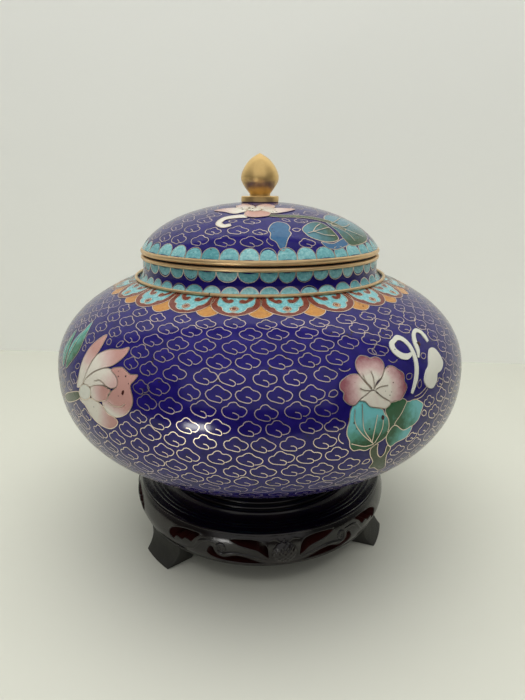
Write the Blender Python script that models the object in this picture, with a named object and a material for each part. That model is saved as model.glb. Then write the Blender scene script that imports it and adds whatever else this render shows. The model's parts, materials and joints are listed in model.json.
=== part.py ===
"""Cloisonne ginger jar with its lid, on a carved and pierced lacquered wooden stand.

Metres, +Z up. The origin is on the floor, under the middle of the jar, and the front looks towards -Y.
"""
import math

import bmesh
import bpy
from mathutils import Matrix, Vector

# Driving dimensions of the jar
BELLY_RADIUS = 0.100
SHOULDER_RISE = 0.0497
SHOULDER_FULLNESS = 2.26
BELLY_DROP = 0.0536
BELLY_FULLNESS = 2.34
JAR_WALL = 0.0020
NECK_RADIUS = 0.0573
NECK_FLARE = 0.0030
NECK_FLARE_HEIGHT = 0.0050
NECK_HEIGHT = 0.0094
FOOT_RADIUS = 0.0410
FOOT_WALL = 0.0027
FOOT_JOIN_RADIUS = 0.0445
FOOT_DEPTH = 0.0068

# Metal rings round the mouth, the neck and the lid
MOUTH_RING_HEIGHT = 0.00135
MOUTH_RING_LIP = 0.0009
NECK_STRIP_RADIUS = 0.00065
NECK_STRIP_SLOPE = math.radians(48.0)
LID_RING_HEIGHT = 0.00175
LID_RING_SHADOW_GAP = 0.0011
LID_RING_STEP = 0.0012

# The lid and its knob
LID_RISE = 0.0209
LID_SWELL = 0.0017
LID_WALL = 0.0020
LID_INSET = 0.0009
SKIRT_DEPTH = 0.0080
SKIRT_WALL = 0.0012
SKIRT_CLEARANCE = 0.0005
KNOB_DISC_RADIUS = 0.0091
KNOB_DISC_HEIGHT = 0.0023
KNOB_NECK_RADIUS = 0.0048
KNOB_NECK_HEIGHT = 0.0015
KNOB_RADIUS = 0.0091
KNOB_WIDEST = 0.0067
KNOB_HEIGHT = 0.0180
KNOB_FULLNESS = 2.05

# The stand
LEG_HEIGHT = 0.0135
APRON_HEIGHT = 0.0166
APRON_TOP_RADIUS = 0.0654
APRON_TAPER = 0.0011
APRON_SWELL = 0.00265
APRON_WALL = 0.0073
EDGE_BEAD = 0.0008
TOP_LEDGE_RADIUS = 0.0540
PLATE_THICKNESS = 0.0080
SEAT_RISE = 0.0048
SEAT_CLEARANCE = 0.0006
SEAT_LIP = 0.0015
RIDGE_COUNT = 3
RIDGE_PITCH = 0.0030
RIDGE_STEP = 0.0009
RIDGE_CREST_SHARE = 0.45
LEG_COUNT = 3
LEG_TOP_INSET = 0.0008
LEG_DEPTH = 0.0105
LEG_FLARE = 0.0048
LEG_TOP_WIDTH = 0.0274
LEG_TOE_WIDTH = 0.0208
LEG_FLARE_SHARE = 0.6
LEG_LEVELS = (0.0, 0.08, 0.25, 0.45, 0.7, 1.0)
PANEL_TURN = math.radians(9.6)
PANEL_HALF_ANGLE = math.radians(50.0)
FRUIT_RADIUS = 0.0058
FRUIT_PROUD = 0.0020
FRUIT_LEVEL = 0.52
SCROLL_RADIUS = 0.0031
SCROLL_PROUD = 0.0012
SCROLL_PLACE = (0.50, 0.58)
BOSS_DEPTH_SHARE = 0.7

# Gap that touching pieces keep, how far cutters reach past the wall, and how finely round things are divided
GAP = 0.0003
CUTTER_REACH = 0.004
SEGMENTS = 44
STAND_SEGMENTS = 36
KNOB_SEGMENTS = 16
STRIP_SIDES = 5
OUTSIDE_POINTS = 7
INSIDE_POINTS = 5
APRON_STEPS = 4
BUD_STEPS = (3, 5)
FRUIT_DIVISIONS = 8
SCROLL_DIVISIONS = 6

# Places that follow from the sizes above
SHOULDER_RADIUS = NECK_RADIUS + NECK_FLARE
RING_RADIUS = NECK_RADIUS + MOUTH_RING_LIP
LID_EDGE_RADIUS = RING_RADIUS - LID_INSET
LID_DOME_RADIUS = LID_EDGE_RADIUS + LID_SWELL
APRON_BOTTOM_RADIUS = APRON_TOP_RADIUS - APRON_TAPER
Z_APRON_TOP = LEG_HEIGHT + APRON_HEIGHT
Z_SEAT = Z_APRON_TOP + SEAT_RISE
Z_JAR = Z_SEAT + GAP
Z_WIDEST = Z_JAR + FOOT_DEPTH + BELLY_DROP


def rise_at(radius, full_radius, half_height, fullness):
    """Height of a full, squarish oval above its widest ring, where it has narrowed to a radius."""
    return half_height * (1 - (radius / full_radius) ** fullness) ** (1 / fullness)


def oval(full_radius, half_height, fullness, radius_from, radius_to, count):
    """Points (radius, height) along one quarter of that oval, between two radii."""
    ends = [math.acos(min(1.0, (r / full_radius) ** (fullness / 2))) for r in (radius_from, radius_to)]
    points = []
    for i in range(count):
        t = ends[0] + (ends[1] - ends[0]) * i / (count - 1)
        radius = full_radius * math.cos(t) ** (2 / fullness) if i < count - 1 else radius_to
        points.append((radius, rise_at(radius, full_radius, half_height, fullness)))
    return points


Z_SHOULDER = Z_WIDEST + rise_at(SHOULDER_RADIUS, BELLY_RADIUS, SHOULDER_RISE, SHOULDER_FULLNESS)
Z_NECK_TOP = Z_SHOULDER + NECK_HEIGHT
Z_MOUTH = Z_NECK_TOP + GAP + MOUTH_RING_HEIGHT
Z_LID_RING = Z_MOUTH + LID_RING_SHADOW_GAP
Z_LID = Z_LID_RING + LID_RING_HEIGHT + GAP
Z_LID_TOP = Z_LID + LID_RISE
NECK_BORE = NECK_RADIUS - JAR_WALL
SKIRT_RADIUS = NECK_BORE - SKIRT_CLEARANCE


def material(name, colour, roughness, metallic=0.0):
    """A plain Principled material."""
    made = bpy.data.materials.new(name)
    made.use_nodes = True
    shader = made.node_tree.nodes["Principled BSDF"]
    shader.inputs["Base Color"].default_value = (*colour, 1.0)
    shader.inputs["Roughness"].default_value = roughness
    shader.inputs["Metallic"].default_value = metallic
    return made


def finish(name, bm, finish_material, crease=35.0):
    """Turns a bmesh into a named, smooth-shaded object."""
    bmesh.ops.recalc_face_normals(bm, faces=bm.faces)
    mesh = bpy.data.meshes.new(name)
    bm.to_mesh(mesh)
    bm.free()
    mesh.shade_smooth()
    mesh.set_sharp_from_angle(angle=math.radians(crease))
    mesh.materials.append(finish_material)
    made = bpy.data.objects.new(name, mesh)
    bpy.context.scene.collection.objects.link(made)
    return made


def turned(name, profile, finish_material, segments=SEGMENTS, closed=False):
    """A lathe-turned solid from a list of (radius, z). A closed profile goes round a ring's section."""
    bm = bmesh.new()
    ring = [bm.verts.new((radius, 0.0, z)) for radius, z in profile]
    pairs = list(zip(ring, ring[1:] + ring[:1])) if closed else list(zip(ring, ring[1:]))
    edges = [bm.edges.new(pair) for pair in pairs]
    bmesh.ops.spin(bm, geom=ring + edges, cent=(0, 0, 0), axis=(0, 0, 1),
                   angle=math.tau, steps=segments, use_merge=True)
    bmesh.ops.remove_doubles(bm, verts=bm.verts, dist=1e-6)
    return finish(name, bm, finish_material)


def jar_body(finish_material):
    """Hollow squat belly with a low neck and a foot ring, one wall thick all round."""
    up = oval(BELLY_RADIUS, SHOULDER_RISE, SHOULDER_FULLNESS, SHOULDER_RADIUS, BELLY_RADIUS,
              OUTSIDE_POINTS - 1)
    down = oval(BELLY_RADIUS, BELLY_DROP, BELLY_FULLNESS, BELLY_RADIUS, FOOT_JOIN_RADIUS, OUTSIDE_POINTS)
    neck = [(NECK_RADIUS, Z_NECK_TOP)]
    for step in (0, 1, 2):
        turn = math.radians(30 * step)
        neck.append((SHOULDER_RADIUS - NECK_FLARE * math.cos(turn),
                     Z_SHOULDER + NECK_FLARE_HEIGHT * (1 - math.sin(turn))))
    foot_inside = FOOT_RADIUS - FOOT_WALL
    under = Z_WIDEST - rise_at(foot_inside, BELLY_RADIUS, BELLY_DROP, BELLY_FULLNESS)
    foot_top = Z_WIDEST - rise_at(FOOT_JOIN_RADIUS, BELLY_RADIUS, BELLY_DROP, BELLY_FULLNESS)
    foot = [(FOOT_RADIUS, (2 * foot_top + Z_JAR) / 3), (FOOT_RADIUS, Z_JAR), (foot_inside, Z_JAR),
            (foot_inside, under), (0.0, Z_WIDEST - BELLY_DROP)]
    inner_radius = BELLY_RADIUS - JAR_WALL
    floor = oval(inner_radius, BELLY_DROP - JAR_WALL, BELLY_FULLNESS, 0.0, inner_radius,
                 INSIDE_POINTS)
    roof = oval(inner_radius, SHOULDER_RISE - JAR_WALL, SHOULDER_FULLNESS, inner_radius, NECK_BORE,
                INSIDE_POINTS)
    profile = neck
    profile += [(r, Z_WIDEST + z) for r, z in up]
    profile += [(r, Z_WIDEST - z) for r, z in down[1:]]
    profile += foot
    profile += [(r, Z_WIDEST - z) for r, z in floor]
    profile += [(r, Z_WIDEST + z) for r, z in roof[1:]]
    profile += [(NECK_BORE, Z_NECK_TOP)]
    return turned("jar_body", profile, finish_material, closed=True)


def ring_section(inner, outer, bottom, top, soft):
    """Section of a flat ring whose outer edge is rounded off by a few points."""
    middle = (bottom + top) / 2
    return [(inner, bottom), (outer - soft, bottom), (outer, middle), (outer - soft, top), (inner, top)]


def mouth_ring(finish_material):
    """Gilt ring that caps the top edge of the neck."""
    section = ring_section(NECK_BORE, RING_RADIUS, Z_NECK_TOP + GAP, Z_MOUTH, MOUTH_RING_LIP / 3)
    return turned("mouth_rim_ring", section, finish_material, closed=True)


def neck_strip(finish_material):
    """Round gilt strip in the corner between the shoulder and the flare of the neck."""
    offset = NECK_STRIP_RADIUS + GAP
    centre = (SHOULDER_RADIUS + offset * math.cos(NECK_STRIP_SLOPE),
              Z_SHOULDER + offset * math.sin(NECK_STRIP_SLOPE))
    section = []
    for step in range(STRIP_SIDES):
        turn = math.tau * step / STRIP_SIDES
        section.append((centre[0] + NECK_STRIP_RADIUS * math.cos(turn),
                        centre[1] + NECK_STRIP_RADIUS * math.sin(turn)))
    return turned("neck_base_ring", section, finish_material, closed=True)


def lid_ring(finish_material):
    """Gilt edge of the lid: a step under it rests on the mouth ring and leaves a dark line outside."""
    soft = MOUTH_RING_LIP / 3
    inner = SKIRT_RADIUS + GAP
    seat = RING_RADIUS - LID_RING_STEP
    top = Z_LID_RING + LID_RING_HEIGHT
    section = [(inner, Z_MOUTH + GAP), (seat, Z_MOUTH + GAP), (seat, Z_LID_RING),
               (RING_RADIUS - soft, Z_LID_RING), (RING_RADIUS, (Z_LID_RING + top) / 2),
               (RING_RADIUS - soft, top), (inner, top)]
    return turned("lid_rim_ring", section, finish_material, closed=True)


def dome_rise(radius, full_radius, half_height):
    """Height of an oval dome at a radius, over its widest ring."""
    return half_height * math.sqrt(1 - (radius / full_radius) ** 2)


def jar_lid(finish_material):
    """Hollow domed lid with a skirt that drops into the neck."""
    half_height = LID_RISE / (1 - dome_rise(LID_EDGE_RADIUS, LID_DOME_RADIUS, 1.0))
    z_centre = Z_LID_TOP - half_height
    outside = []
    for step in range(OUTSIDE_POINTS + 1):
        share = step / OUTSIDE_POINTS
        turn = math.acos(LID_EDGE_RADIUS / LID_DOME_RADIUS) * (1 - share) + math.pi / 2 * share
        radius = LID_DOME_RADIUS * math.cos(turn) if share < 1 else 0.0
        outside.append((radius, z_centre + half_height * math.sin(turn)))
    bore = SKIRT_RADIUS - SKIRT_WALL
    inside = []
    for step in range(INSIDE_POINTS):
        radius = bore * math.sin(math.pi / 2 * step / (INSIDE_POINTS - 1))
        height = dome_rise(radius, LID_DOME_RADIUS - LID_WALL, half_height - LID_WALL)
        inside.append((radius, z_centre + height))
    profile = [(SKIRT_RADIUS, Z_LID)] + outside + inside
    profile += [(bore, Z_MOUTH - SKIRT_DEPTH), (SKIRT_RADIUS, Z_MOUTH - SKIRT_DEPTH)]
    return turned("jar_lid", profile, finish_material, closed=True)


def lid_knob(finish_material):
    """Solid brass bud on a disc, screwed to the crown of the lid."""
    z_disc = Z_LID_TOP + GAP
    z_neck = z_disc + KNOB_DISC_HEIGHT
    z_bud = z_neck + KNOB_NECK_HEIGHT
    soft = KNOB_DISC_HEIGHT / 5
    profile = [(0.0, z_disc), (KNOB_DISC_RADIUS - soft, z_disc), (KNOB_DISC_RADIUS, z_disc + soft),
               (KNOB_DISC_RADIUS, z_neck - soft), (KNOB_DISC_RADIUS - soft, z_neck),
               (KNOB_NECK_RADIUS, z_neck), (KNOB_NECK_RADIUS, z_bud)]
    low_steps, high_steps = BUD_STEPS
    for step in range(1, low_steps + 1):
        share = step / low_steps
        swell = math.sin(math.pi / 2 * share)
        profile.append((KNOB_NECK_RADIUS + (KNOB_RADIUS - KNOB_NECK_RADIUS) * swell,
                        z_bud + KNOB_WIDEST * share))
    for step in range(1, high_steps + 1):
        share = step / high_steps
        radius = KNOB_RADIUS * (1 - share ** KNOB_FULLNESS)
        profile.append((radius, z_bud + KNOB_WIDEST + (KNOB_HEIGHT - KNOB_WIDEST) * share))
    return turned("lid_finial", profile, finish_material, segments=KNOB_SEGMENTS)


def apron_radius(share):
    """Radius of the bulging apron, from its bottom (0) to its top (1)."""
    chord = APRON_BOTTOM_RADIUS + APRON_TAPER * share
    return chord + APRON_SWELL * 4 * share * (1 - share)


def stand_body(finish_material):
    """Turned seat plate and bulging apron, cut from one block of wood."""
    lip = FOOT_RADIUS + SEAT_CLEARANCE
    profile = [(0.0, Z_SEAT), (lip, Z_SEAT), (lip, Z_SEAT + SEAT_LIP),
               (lip + RIDGE_PITCH / 3, Z_SEAT + SEAT_LIP)]
    for ridge in range(RIDGE_COUNT):
        radius = lip + RIDGE_PITCH * (ridge + 0.5)
        height = Z_SEAT - RIDGE_STEP * ridge
        profile += [(radius, height - RIDGE_STEP), (radius + RIDGE_CREST_SHARE * RIDGE_PITCH, height)]
    profile += [(TOP_LEDGE_RADIUS, Z_APRON_TOP + EDGE_BEAD / 2),
                (APRON_TOP_RADIUS - 2 * EDGE_BEAD, Z_APRON_TOP),
                (APRON_TOP_RADIUS - EDGE_BEAD, Z_APRON_TOP + EDGE_BEAD), (APRON_TOP_RADIUS, Z_APRON_TOP)]
    for step in range(1, APRON_STEPS + 1):
        share = 1 - step / APRON_STEPS
        profile.append((apron_radius(share), LEG_HEIGHT + APRON_HEIGHT * share))
    inside = APRON_BOTTOM_RADIUS - APRON_WALL
    profile += [(inside, LEG_HEIGHT), (inside, Z_SEAT - PLATE_THICKNESS), (0.0, Z_SEAT - PLATE_THICKNESS)]
    return turned("wooden_stand", profile, finish_material, segments=STAND_SEGMENTS)


def on_apron(along, share, radius):
    """A point of the carved band, from its angle off the panel's middle, share of the height and radius."""
    angle = PANEL_TURN + along
    return Vector((radius * math.sin(angle), -radius * math.cos(angle), LEG_HEIGHT + APRON_HEIGHT * share))


# Outlines of the pierced openings of half a panel. Each point is a share of the panel's half angle and a
# share of the apron's height: a comma by the fruit, a hooked crescent round the scroll, a leaf by the leg.
COMMA = [(0.12, 0.56), (0.15, 0.84), (0.26, 0.92), (0.43, 0.88), (0.34, 0.72), (0.21, 0.62), (0.12, 0.34)]
CRESCENT = [(0.05, 0.11), (0.16, 0.18), (0.25, 0.36), (0.38, 0.43), (0.48, 0.30), (0.57, 0.62),
            (0.60, 0.30), (0.47, 0.11), (0.26, 0.10)]
LEAF_HOLE = [(0.66, 0.86), (0.82, 0.88), (0.95, 0.76), (0.97, 0.46), (0.86, 0.54), (0.76, 0.46)]


def smooth_loop(points, steps=2):
    """A closed curve through the points, with a few steps between each two."""
    made = []
    count = len(points)
    for i in range(count):
        before, here, after, beyond = (Vector(points[(i + k) % count]) for k in (-1, 0, 1, 2))
        for step in range(steps):
            t = step / steps
            bend = 2 * before - 5 * here + 4 * after - beyond
            twist = 3 * here - before - 3 * after + beyond
            made.append(0.5 * (2 * here + (after - before) * t + bend * t ** 2 + twist * t ** 3))
    return made


def piercing(turn):
    """Radial cutters for every opening of one panel, joined in one mesh."""
    bm = bmesh.new()
    near = APRON_BOTTOM_RADIUS - APRON_WALL - CUTTER_REACH
    far = APRON_TOP_RADIUS + APRON_SWELL + CUTTER_REACH
    for outline in (COMMA, CRESCENT, LEAF_HOLE):
        for side in (1, -1):
            loop = smooth_loop(outline)
            rings = []
            for radius in (near, far):
                rings.append([bm.verts.new(on_apron(turn + side * PANEL_HALF_ANGLE * along, share, radius))
                              for along, share in loop])
            bm.faces.new(rings[0])
            bm.faces.new(rings[1])
            for i in range(len(loop)):
                k = (i + 1) % len(loop)
                bm.faces.new((rings[0][i], rings[0][k], rings[1][k], rings[1][i]))
    return bm


def boss(bm, along, share, size, proud, divisions):
    """A low rounded boss on the apron, sunk so that it stands proud by the given amount."""
    depth = size * BOSS_DEPTH_SHARE
    centre = on_apron(along, share, apron_radius(share) + proud - depth)
    place = (Matrix.Translation(centre) @ Matrix.Rotation(PANEL_TURN + along, 4, "Z")
             @ Matrix.Diagonal((size, depth, size, 1.0)))
    bmesh.ops.create_uvsphere(bm, u_segments=divisions, v_segments=divisions - 2, radius=1.0, matrix=place)


def helper(name, bm):
    """An object that only shapes another one and isn't part of the model."""
    bmesh.ops.recalc_face_normals(bm, faces=bm.faces)
    mesh = bpy.data.meshes.new(name)
    bm.to_mesh(mesh)
    bm.free()
    made = bpy.data.objects.new(name, mesh)
    bpy.context.scene.collection.objects.link(made)
    made.hide_render = True
    made.display_type = "WIRE"
    return made


def boolean(target, tool, operation):
    """Adds a Boolean modifier with the exact solver."""
    modifier = target.modifiers.new(tool.name, "BOOLEAN")
    modifier.operation = operation
    modifier.solver = "EXACT"
    modifier.object = tool


def wooden_stand(finish_material):
    """The stand with its three carved panels: fruit, scrolls and pierced ground."""
    body = stand_body(finish_material)
    bosses = bmesh.new()
    holes = bmesh.new()
    for panel in range(LEG_COUNT):
        turn = math.tau * panel / LEG_COUNT
        boss(bosses, turn, FRUIT_LEVEL, FRUIT_RADIUS, FRUIT_PROUD, FRUIT_DIVISIONS)
        for side in (1, -1):
            along, level = SCROLL_PLACE
            boss(bosses, turn + side * PANEL_HALF_ANGLE * along, level, SCROLL_RADIUS, SCROLL_PROUD,
                 SCROLL_DIVISIONS)
        cut = piercing(turn)
        spare = bpy.data.meshes.new("panel")
        cut.to_mesh(spare)
        cut.free()
        holes.from_mesh(spare)
        bpy.data.meshes.remove(spare)
    boolean(body, helper("carved_bosses", bosses), "UNION")
    boolean(body, helper("pierced_openings", holes), "DIFFERENCE")
    return body


def stand_leg(index, finish_material):
    """Block foot under the apron, between two panels, with a toe that flares outwards."""
    height = LEG_HEIGHT - GAP
    angle = PANEL_TURN + math.tau * (index - 0.5) / LEG_COUNT
    top_radius = APRON_BOTTOM_RADIUS - LEG_TOP_INSET
    heel = top_radius - LEG_DEPTH
    bm = bmesh.new()
    rings = []
    for share in LEG_LEVELS:
        flare = max(0.0, 1 - share / LEG_FLARE_SHARE) ** 2
        front = top_radius + LEG_FLARE * flare
        half = (LEG_TOE_WIDTH + (LEG_TOP_WIDTH - LEG_TOE_WIDTH) * math.sin(math.pi / 2 * share)) / 2
        corner = math.sqrt(front ** 2 - half ** 2)
        plan = [(-half, heel), (-half, corner), (0.0, front), (half, corner), (half, heel)]
        ring = []
        for across, out in plan:
            x = out * math.sin(angle) + across * math.cos(angle)
            y = -out * math.cos(angle) + across * math.sin(angle)
            ring.append(bm.verts.new((x, y, height * share)))
        rings.append(ring)
    bm.faces.new(rings[0])
    bm.faces.new(rings[-1])
    for low, high in zip(rings, rings[1:]):
        for i in range(len(low)):
            k = (i + 1) % len(low)
            bm.faces.new((low[i], low[k], high[k], high[i]))
    return finish(f"stand_foot_{index + 1}", bm, finish_material, crease=50.0)


def build():
    """Models every piece of the jar and its stand."""
    for old in list(bpy.data.objects):
        bpy.data.objects.remove(old)
    enamel = material("cobalt_enamel", (0.035, 0.025, 0.20), 0.18)
    gilt = material("gilt_brass", (0.66, 0.42, 0.16), 0.30, 1.0)
    lacquer = material("black_lacquer", (0.018, 0.012, 0.010), 0.15)
    matt_wood = material("matt_dark_wood", (0.05, 0.045, 0.04), 0.55)
    jar_body(enamel)
    mouth_ring(gilt)
    neck_strip(gilt)
    lid_ring(gilt)
    jar_lid(enamel)
    lid_knob(gilt)
    wooden_stand(lacquer)
    for index in range(LEG_COUNT):
        stand_leg(index, matt_wood)


build()
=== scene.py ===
# %% [markdown]
# # Dressing a cloisonne ginger jar
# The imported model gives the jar, its lid and its stand as plain solids. This notebook replaces them with
# finer turned shapes, lays thin brass wires and coloured enamel on them, and lights them like the
# photograph. Every length in the tables below is in millimetres, and MM turns it into metres where a mesh
# is made.

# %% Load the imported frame
import json
import math
import random

import bmesh
import bpy
import numpy as np
from mathutils.geometry import delaunay_2d_cdt
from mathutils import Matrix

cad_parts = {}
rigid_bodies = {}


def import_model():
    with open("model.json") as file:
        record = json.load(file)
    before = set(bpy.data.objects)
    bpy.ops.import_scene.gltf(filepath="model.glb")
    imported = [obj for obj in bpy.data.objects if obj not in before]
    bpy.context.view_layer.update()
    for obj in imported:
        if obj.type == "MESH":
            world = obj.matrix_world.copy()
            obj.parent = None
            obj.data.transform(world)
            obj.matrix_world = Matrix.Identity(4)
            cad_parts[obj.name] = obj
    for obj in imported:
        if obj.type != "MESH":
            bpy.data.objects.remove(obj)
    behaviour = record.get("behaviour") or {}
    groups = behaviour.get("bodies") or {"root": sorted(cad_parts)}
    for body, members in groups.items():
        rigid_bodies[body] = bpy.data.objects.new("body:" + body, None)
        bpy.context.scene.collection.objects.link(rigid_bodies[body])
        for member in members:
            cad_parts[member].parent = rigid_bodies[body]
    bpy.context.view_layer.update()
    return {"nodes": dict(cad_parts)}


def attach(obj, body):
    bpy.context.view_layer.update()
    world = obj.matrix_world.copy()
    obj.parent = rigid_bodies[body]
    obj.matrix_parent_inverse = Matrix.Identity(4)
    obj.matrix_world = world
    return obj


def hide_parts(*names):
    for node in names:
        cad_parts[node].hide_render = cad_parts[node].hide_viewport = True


MM = 0.001
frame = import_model()
print("CAD nodes:", ", ".join(sorted(frame["nodes"])))

# %% [markdown]
# ## The camera
# It looks at the jar from a little above, as in the photograph. The lens is a wide one, close to the jar,
# and that is why the belly looks so much wider than the lid. The numbers come from fitting the rings of
# the jar.

# %% Place the camera
CAMERA_PLACE = (1.24, -265.35, 179.45)
CAMERA_TILT = 17.25
SENSOR = 36
LENS_PIXELS, FRAME_HEIGHT = 526, 700
CAMERA_LENS = SENSOR * LENS_PIXELS / FRAME_HEIGHT

camera_data = bpy.data.cameras.new("camera")
camera_data.sensor_width = SENSOR
camera_data.lens = CAMERA_LENS
camera_data.clip_start = 0.01
camera = bpy.data.objects.new("camera", camera_data)
bpy.context.scene.collection.objects.link(camera)
camera.location = [v * MM for v in CAMERA_PLACE]
camera.rotation_euler = (math.radians(90 - CAMERA_TILT), 0, 0)
bpy.context.scene.camera = camera
print("camera lens:", round(CAMERA_LENS, 2), "mm")

# %% [markdown]
# ## Sizes of the turned pieces
# A jar like this is raised from sheet copper on a lathe, so a side profile says everything about its
# shape. The belly is a full, squarish oval, a little deeper below its widest ring than above it.

# %% Sizes
WIDEST = 95.6
BELLY_RADIUS = 99.95
SHOULDER_RISE, SHOULDER_FULLNESS = 49.7, 2.26
BELLY_DROP, BELLY_FULLNESS = 53.6, 2.34
WALL = 2.0
SHOULDER_RADIUS, NECK_RADIUS, NECK_FLARE = 60.3, 57.3, 5.0
NECK_BASE, NECK_TOP = 137.49, 146.89
FOOT_RADIUS, FOOT_WALL, FOOT_JOIN, FOOT_BOTTOM, FOOT_EDGE = 41.0, 2.7, 44.5, 35.2, 0.5
FOOT_HOLLOW = [(42.6, 44.9), (41.4, 43.2), (FOOT_RADIUS, 41.0)]
SKIRT_RADIUS, SKIRT_WALL, SKIRT_DEPTH = 54.8, 1.2, 8.0
LID_BASE, LID_TOP, LID_EDGE, LID_OVAL = 151.69, 172.59, 57.3, 59.0
MOUTH_BASE, MOUTH_TOP = 146.89, 148.54
LID_RING_BASE, LID_RING_TOP = 149.35, 151.69
RING_RADIUS = 58.2


def quarter_oval(radius, rise, fullness, start, end, count):
    """Points (radius, rise) of a squarish oval from one radius to another."""
    first, last = (math.acos(min(1.0, (r / radius) ** (fullness / 2))) for r in (start, end))
    turn = np.linspace(first, last, count)
    return np.column_stack([radius * np.cos(turn) ** (2 / fullness),
                            rise * np.abs(np.sin(turn)) ** (2 / fullness)])


upper = quarter_oval(BELLY_RADIUS, SHOULDER_RISE, SHOULDER_FULLNESS, SHOULDER_RADIUS, BELLY_RADIUS, 44)
lower = quarter_oval(BELLY_RADIUS, BELLY_DROP, BELLY_FULLNESS, BELLY_RADIUS, FOOT_JOIN, 50)
belly_line = np.vstack([upper + (0, WIDEST), lower[1:] * (1, -1) + (0, WIDEST)])
flare_turn = np.radians(np.linspace(0, 90, 10))
flare_line = np.column_stack([SHOULDER_RADIUS - (SHOULDER_RADIUS - NECK_RADIUS) * np.cos(flare_turn),
                              NECK_BASE + NECK_FLARE * (1 - np.sin(flare_turn))])
neck_line = np.vstack([[NECK_RADIUS, NECK_TOP], flare_line])
lid_share = math.sqrt(1 - (LID_EDGE / LID_OVAL) ** 2)
LID_HALF = (LID_TOP - LID_BASE) / (1 - lid_share)
lid_turn = np.linspace(math.pi / 2, math.acos(LID_EDGE / LID_OVAL), 48)
lid_line = np.column_stack([LID_OVAL * np.cos(lid_turn), LID_TOP - LID_HALF + LID_HALF * np.sin(lid_turn)])
lid_line[0, 0] = 0.0
print("profile points:", len(belly_line), len(neck_line), len(lid_line))

# %% [markdown]
# ## Turning a profile
# In edit mode a circle's points are set out as the closed section of the piece, and Spin turns it once
# round. The doubles on the axis are merged and the normals made consistent, so the solid is closed and
# faces outwards.


# %% A helper that turns a closed section
def turned(name, section, steps, sharp=35.0, angle=math.tau):
    """A solid of revolution from a closed list of (radius, height) in mm."""
    bpy.ops.object.select_all(action="DESELECT")
    bpy.ops.mesh.primitive_circle_add(vertices=len(section), radius=0.01, location=(0, 0, 0))
    piece = bpy.context.object
    piece.name = name
    for vertex, (radius, height) in zip(piece.data.vertices, section):
        vertex.co = (radius * MM, 0, height * MM)
    bpy.ops.object.mode_set(mode="EDIT")
    bpy.ops.mesh.select_all(action="SELECT")
    bpy.ops.mesh.spin(steps=steps, angle=angle, center=(0, 0, 0), axis=(0, 0, 1))
    bpy.ops.mesh.select_all(action="SELECT")
    bpy.ops.mesh.remove_doubles(threshold=1e-6)
    bpy.ops.mesh.delete_loose()
    bpy.ops.mesh.select_all(action="SELECT")
    bpy.ops.mesh.normals_make_consistent(inside=False)
    bpy.ops.object.mode_set(mode="OBJECT")
    bpy.ops.object.shade_smooth_by_angle(angle=math.radians(sharp))
    return piece


def hand_over(piece, material, slot, *nodes):
    """Gives a finished piece its material and its place in the frame."""
    if material is not None:
        piece.data.materials.clear()
        piece.data.materials.append(material)
    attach(piece, "root")
    if nodes:
        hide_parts(*nodes)
    print(f"{piece.name}: {len(piece.data.polygons)} faces")


# %% [markdown]
# ## Enamel as a material
# Fired enamel is glass. Its colour is clouded, because the powder is laid wet with a spatula, and the
# polished surface keeps a faint swell and a few pinholes. One node group makes those, and every enamel
# uses it. A second colour comes from the piece's own attribute called tone, which fades a petal from its
# base to its tip.


# %% The enamel grain group
def socket(group, name, kind, way, value=None):
    made = group.interface.new_socket(name=name, in_out=way, socket_type=kind)
    if value is not None:
        made.default_value = value


def link_up(tree, *pairs):
    for start, end in pairs:
        tree.links.new(start, end)


def maths(tree, operation, first, second, clamp=False):
    """A maths node fed by sockets or plain numbers."""
    node = tree.nodes.new("ShaderNodeMath")
    node.operation = operation
    node.use_clamp = clamp
    for place, value in enumerate((first, second)):
        if isinstance(value, (int, float)):
            node.inputs[place].default_value = value
        else:
            tree.links.new(value, node.inputs[place])
    return node.outputs[0]


def noise(tree, vector, scale, detail, roughness=0.5):
    node = tree.nodes.new("ShaderNodeTexNoise")
    node.inputs["Detail"].default_value = detail
    node.inputs["Roughness"].default_value = roughness
    tree.links.new(vector, node.inputs["Vector"])
    if isinstance(scale, (int, float)):
        node.inputs["Scale"].default_value = scale
    else:
        tree.links.new(scale, node.inputs["Scale"])
    return node.outputs[0]


grain = bpy.data.node_groups.new("enamel grain", "ShaderNodeTree")
socket(grain, "Cloud Size", "NodeSocketFloat", "INPUT", 200.0)
socket(grain, "Pit Size", "NodeSocketFloat", "INPUT", 420.0)
socket(grain, "Clouding", "NodeSocketFloat", "OUTPUT")
socket(grain, "Pits", "NodeSocketFloat", "OUTPUT")
socket(grain, "Height", "NodeSocketFloat", "OUTPUT")
grain_in = grain.nodes.new("NodeGroupInput")
grain_out = grain.nodes.new("NodeGroupOutput")
grain_place = grain.nodes.new("ShaderNodeTexCoord").outputs["Object"]
clouding = noise(grain, grain_place, grain_in.outputs["Cloud Size"], 4.0, 0.65)
swell = noise(grain, grain_place, 55.0, 1.0)
pit_cells = grain.nodes.new("ShaderNodeTexVoronoi")
link_up(grain, (grain_place, pit_cells.inputs["Vector"]), (grain_in.outputs["Pit Size"],
                                                           pit_cells.inputs["Scale"]))
pit_size = noise(grain, grain_place, 90.0, 2.0)
pit_edge = maths(grain, "MULTIPLY", maths(grain, "SUBTRACT", pit_size, 0.42, True), 0.9)
pits = maths(grain, "MULTIPLY", maths(grain, "SUBTRACT", pit_edge, pit_cells.outputs["Distance"], True),
             14.0, True)
height = maths(grain, "SUBTRACT", maths(grain, "ADD", swell, maths(grain, "MULTIPLY", clouding, 0.10)), pits)
link_up(grain, (clouding, grain_out.inputs["Clouding"]), (pits, grain_out.inputs["Pits"]),
        (height, grain_out.inputs["Height"]))
print("group made:", grain.name)
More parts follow.
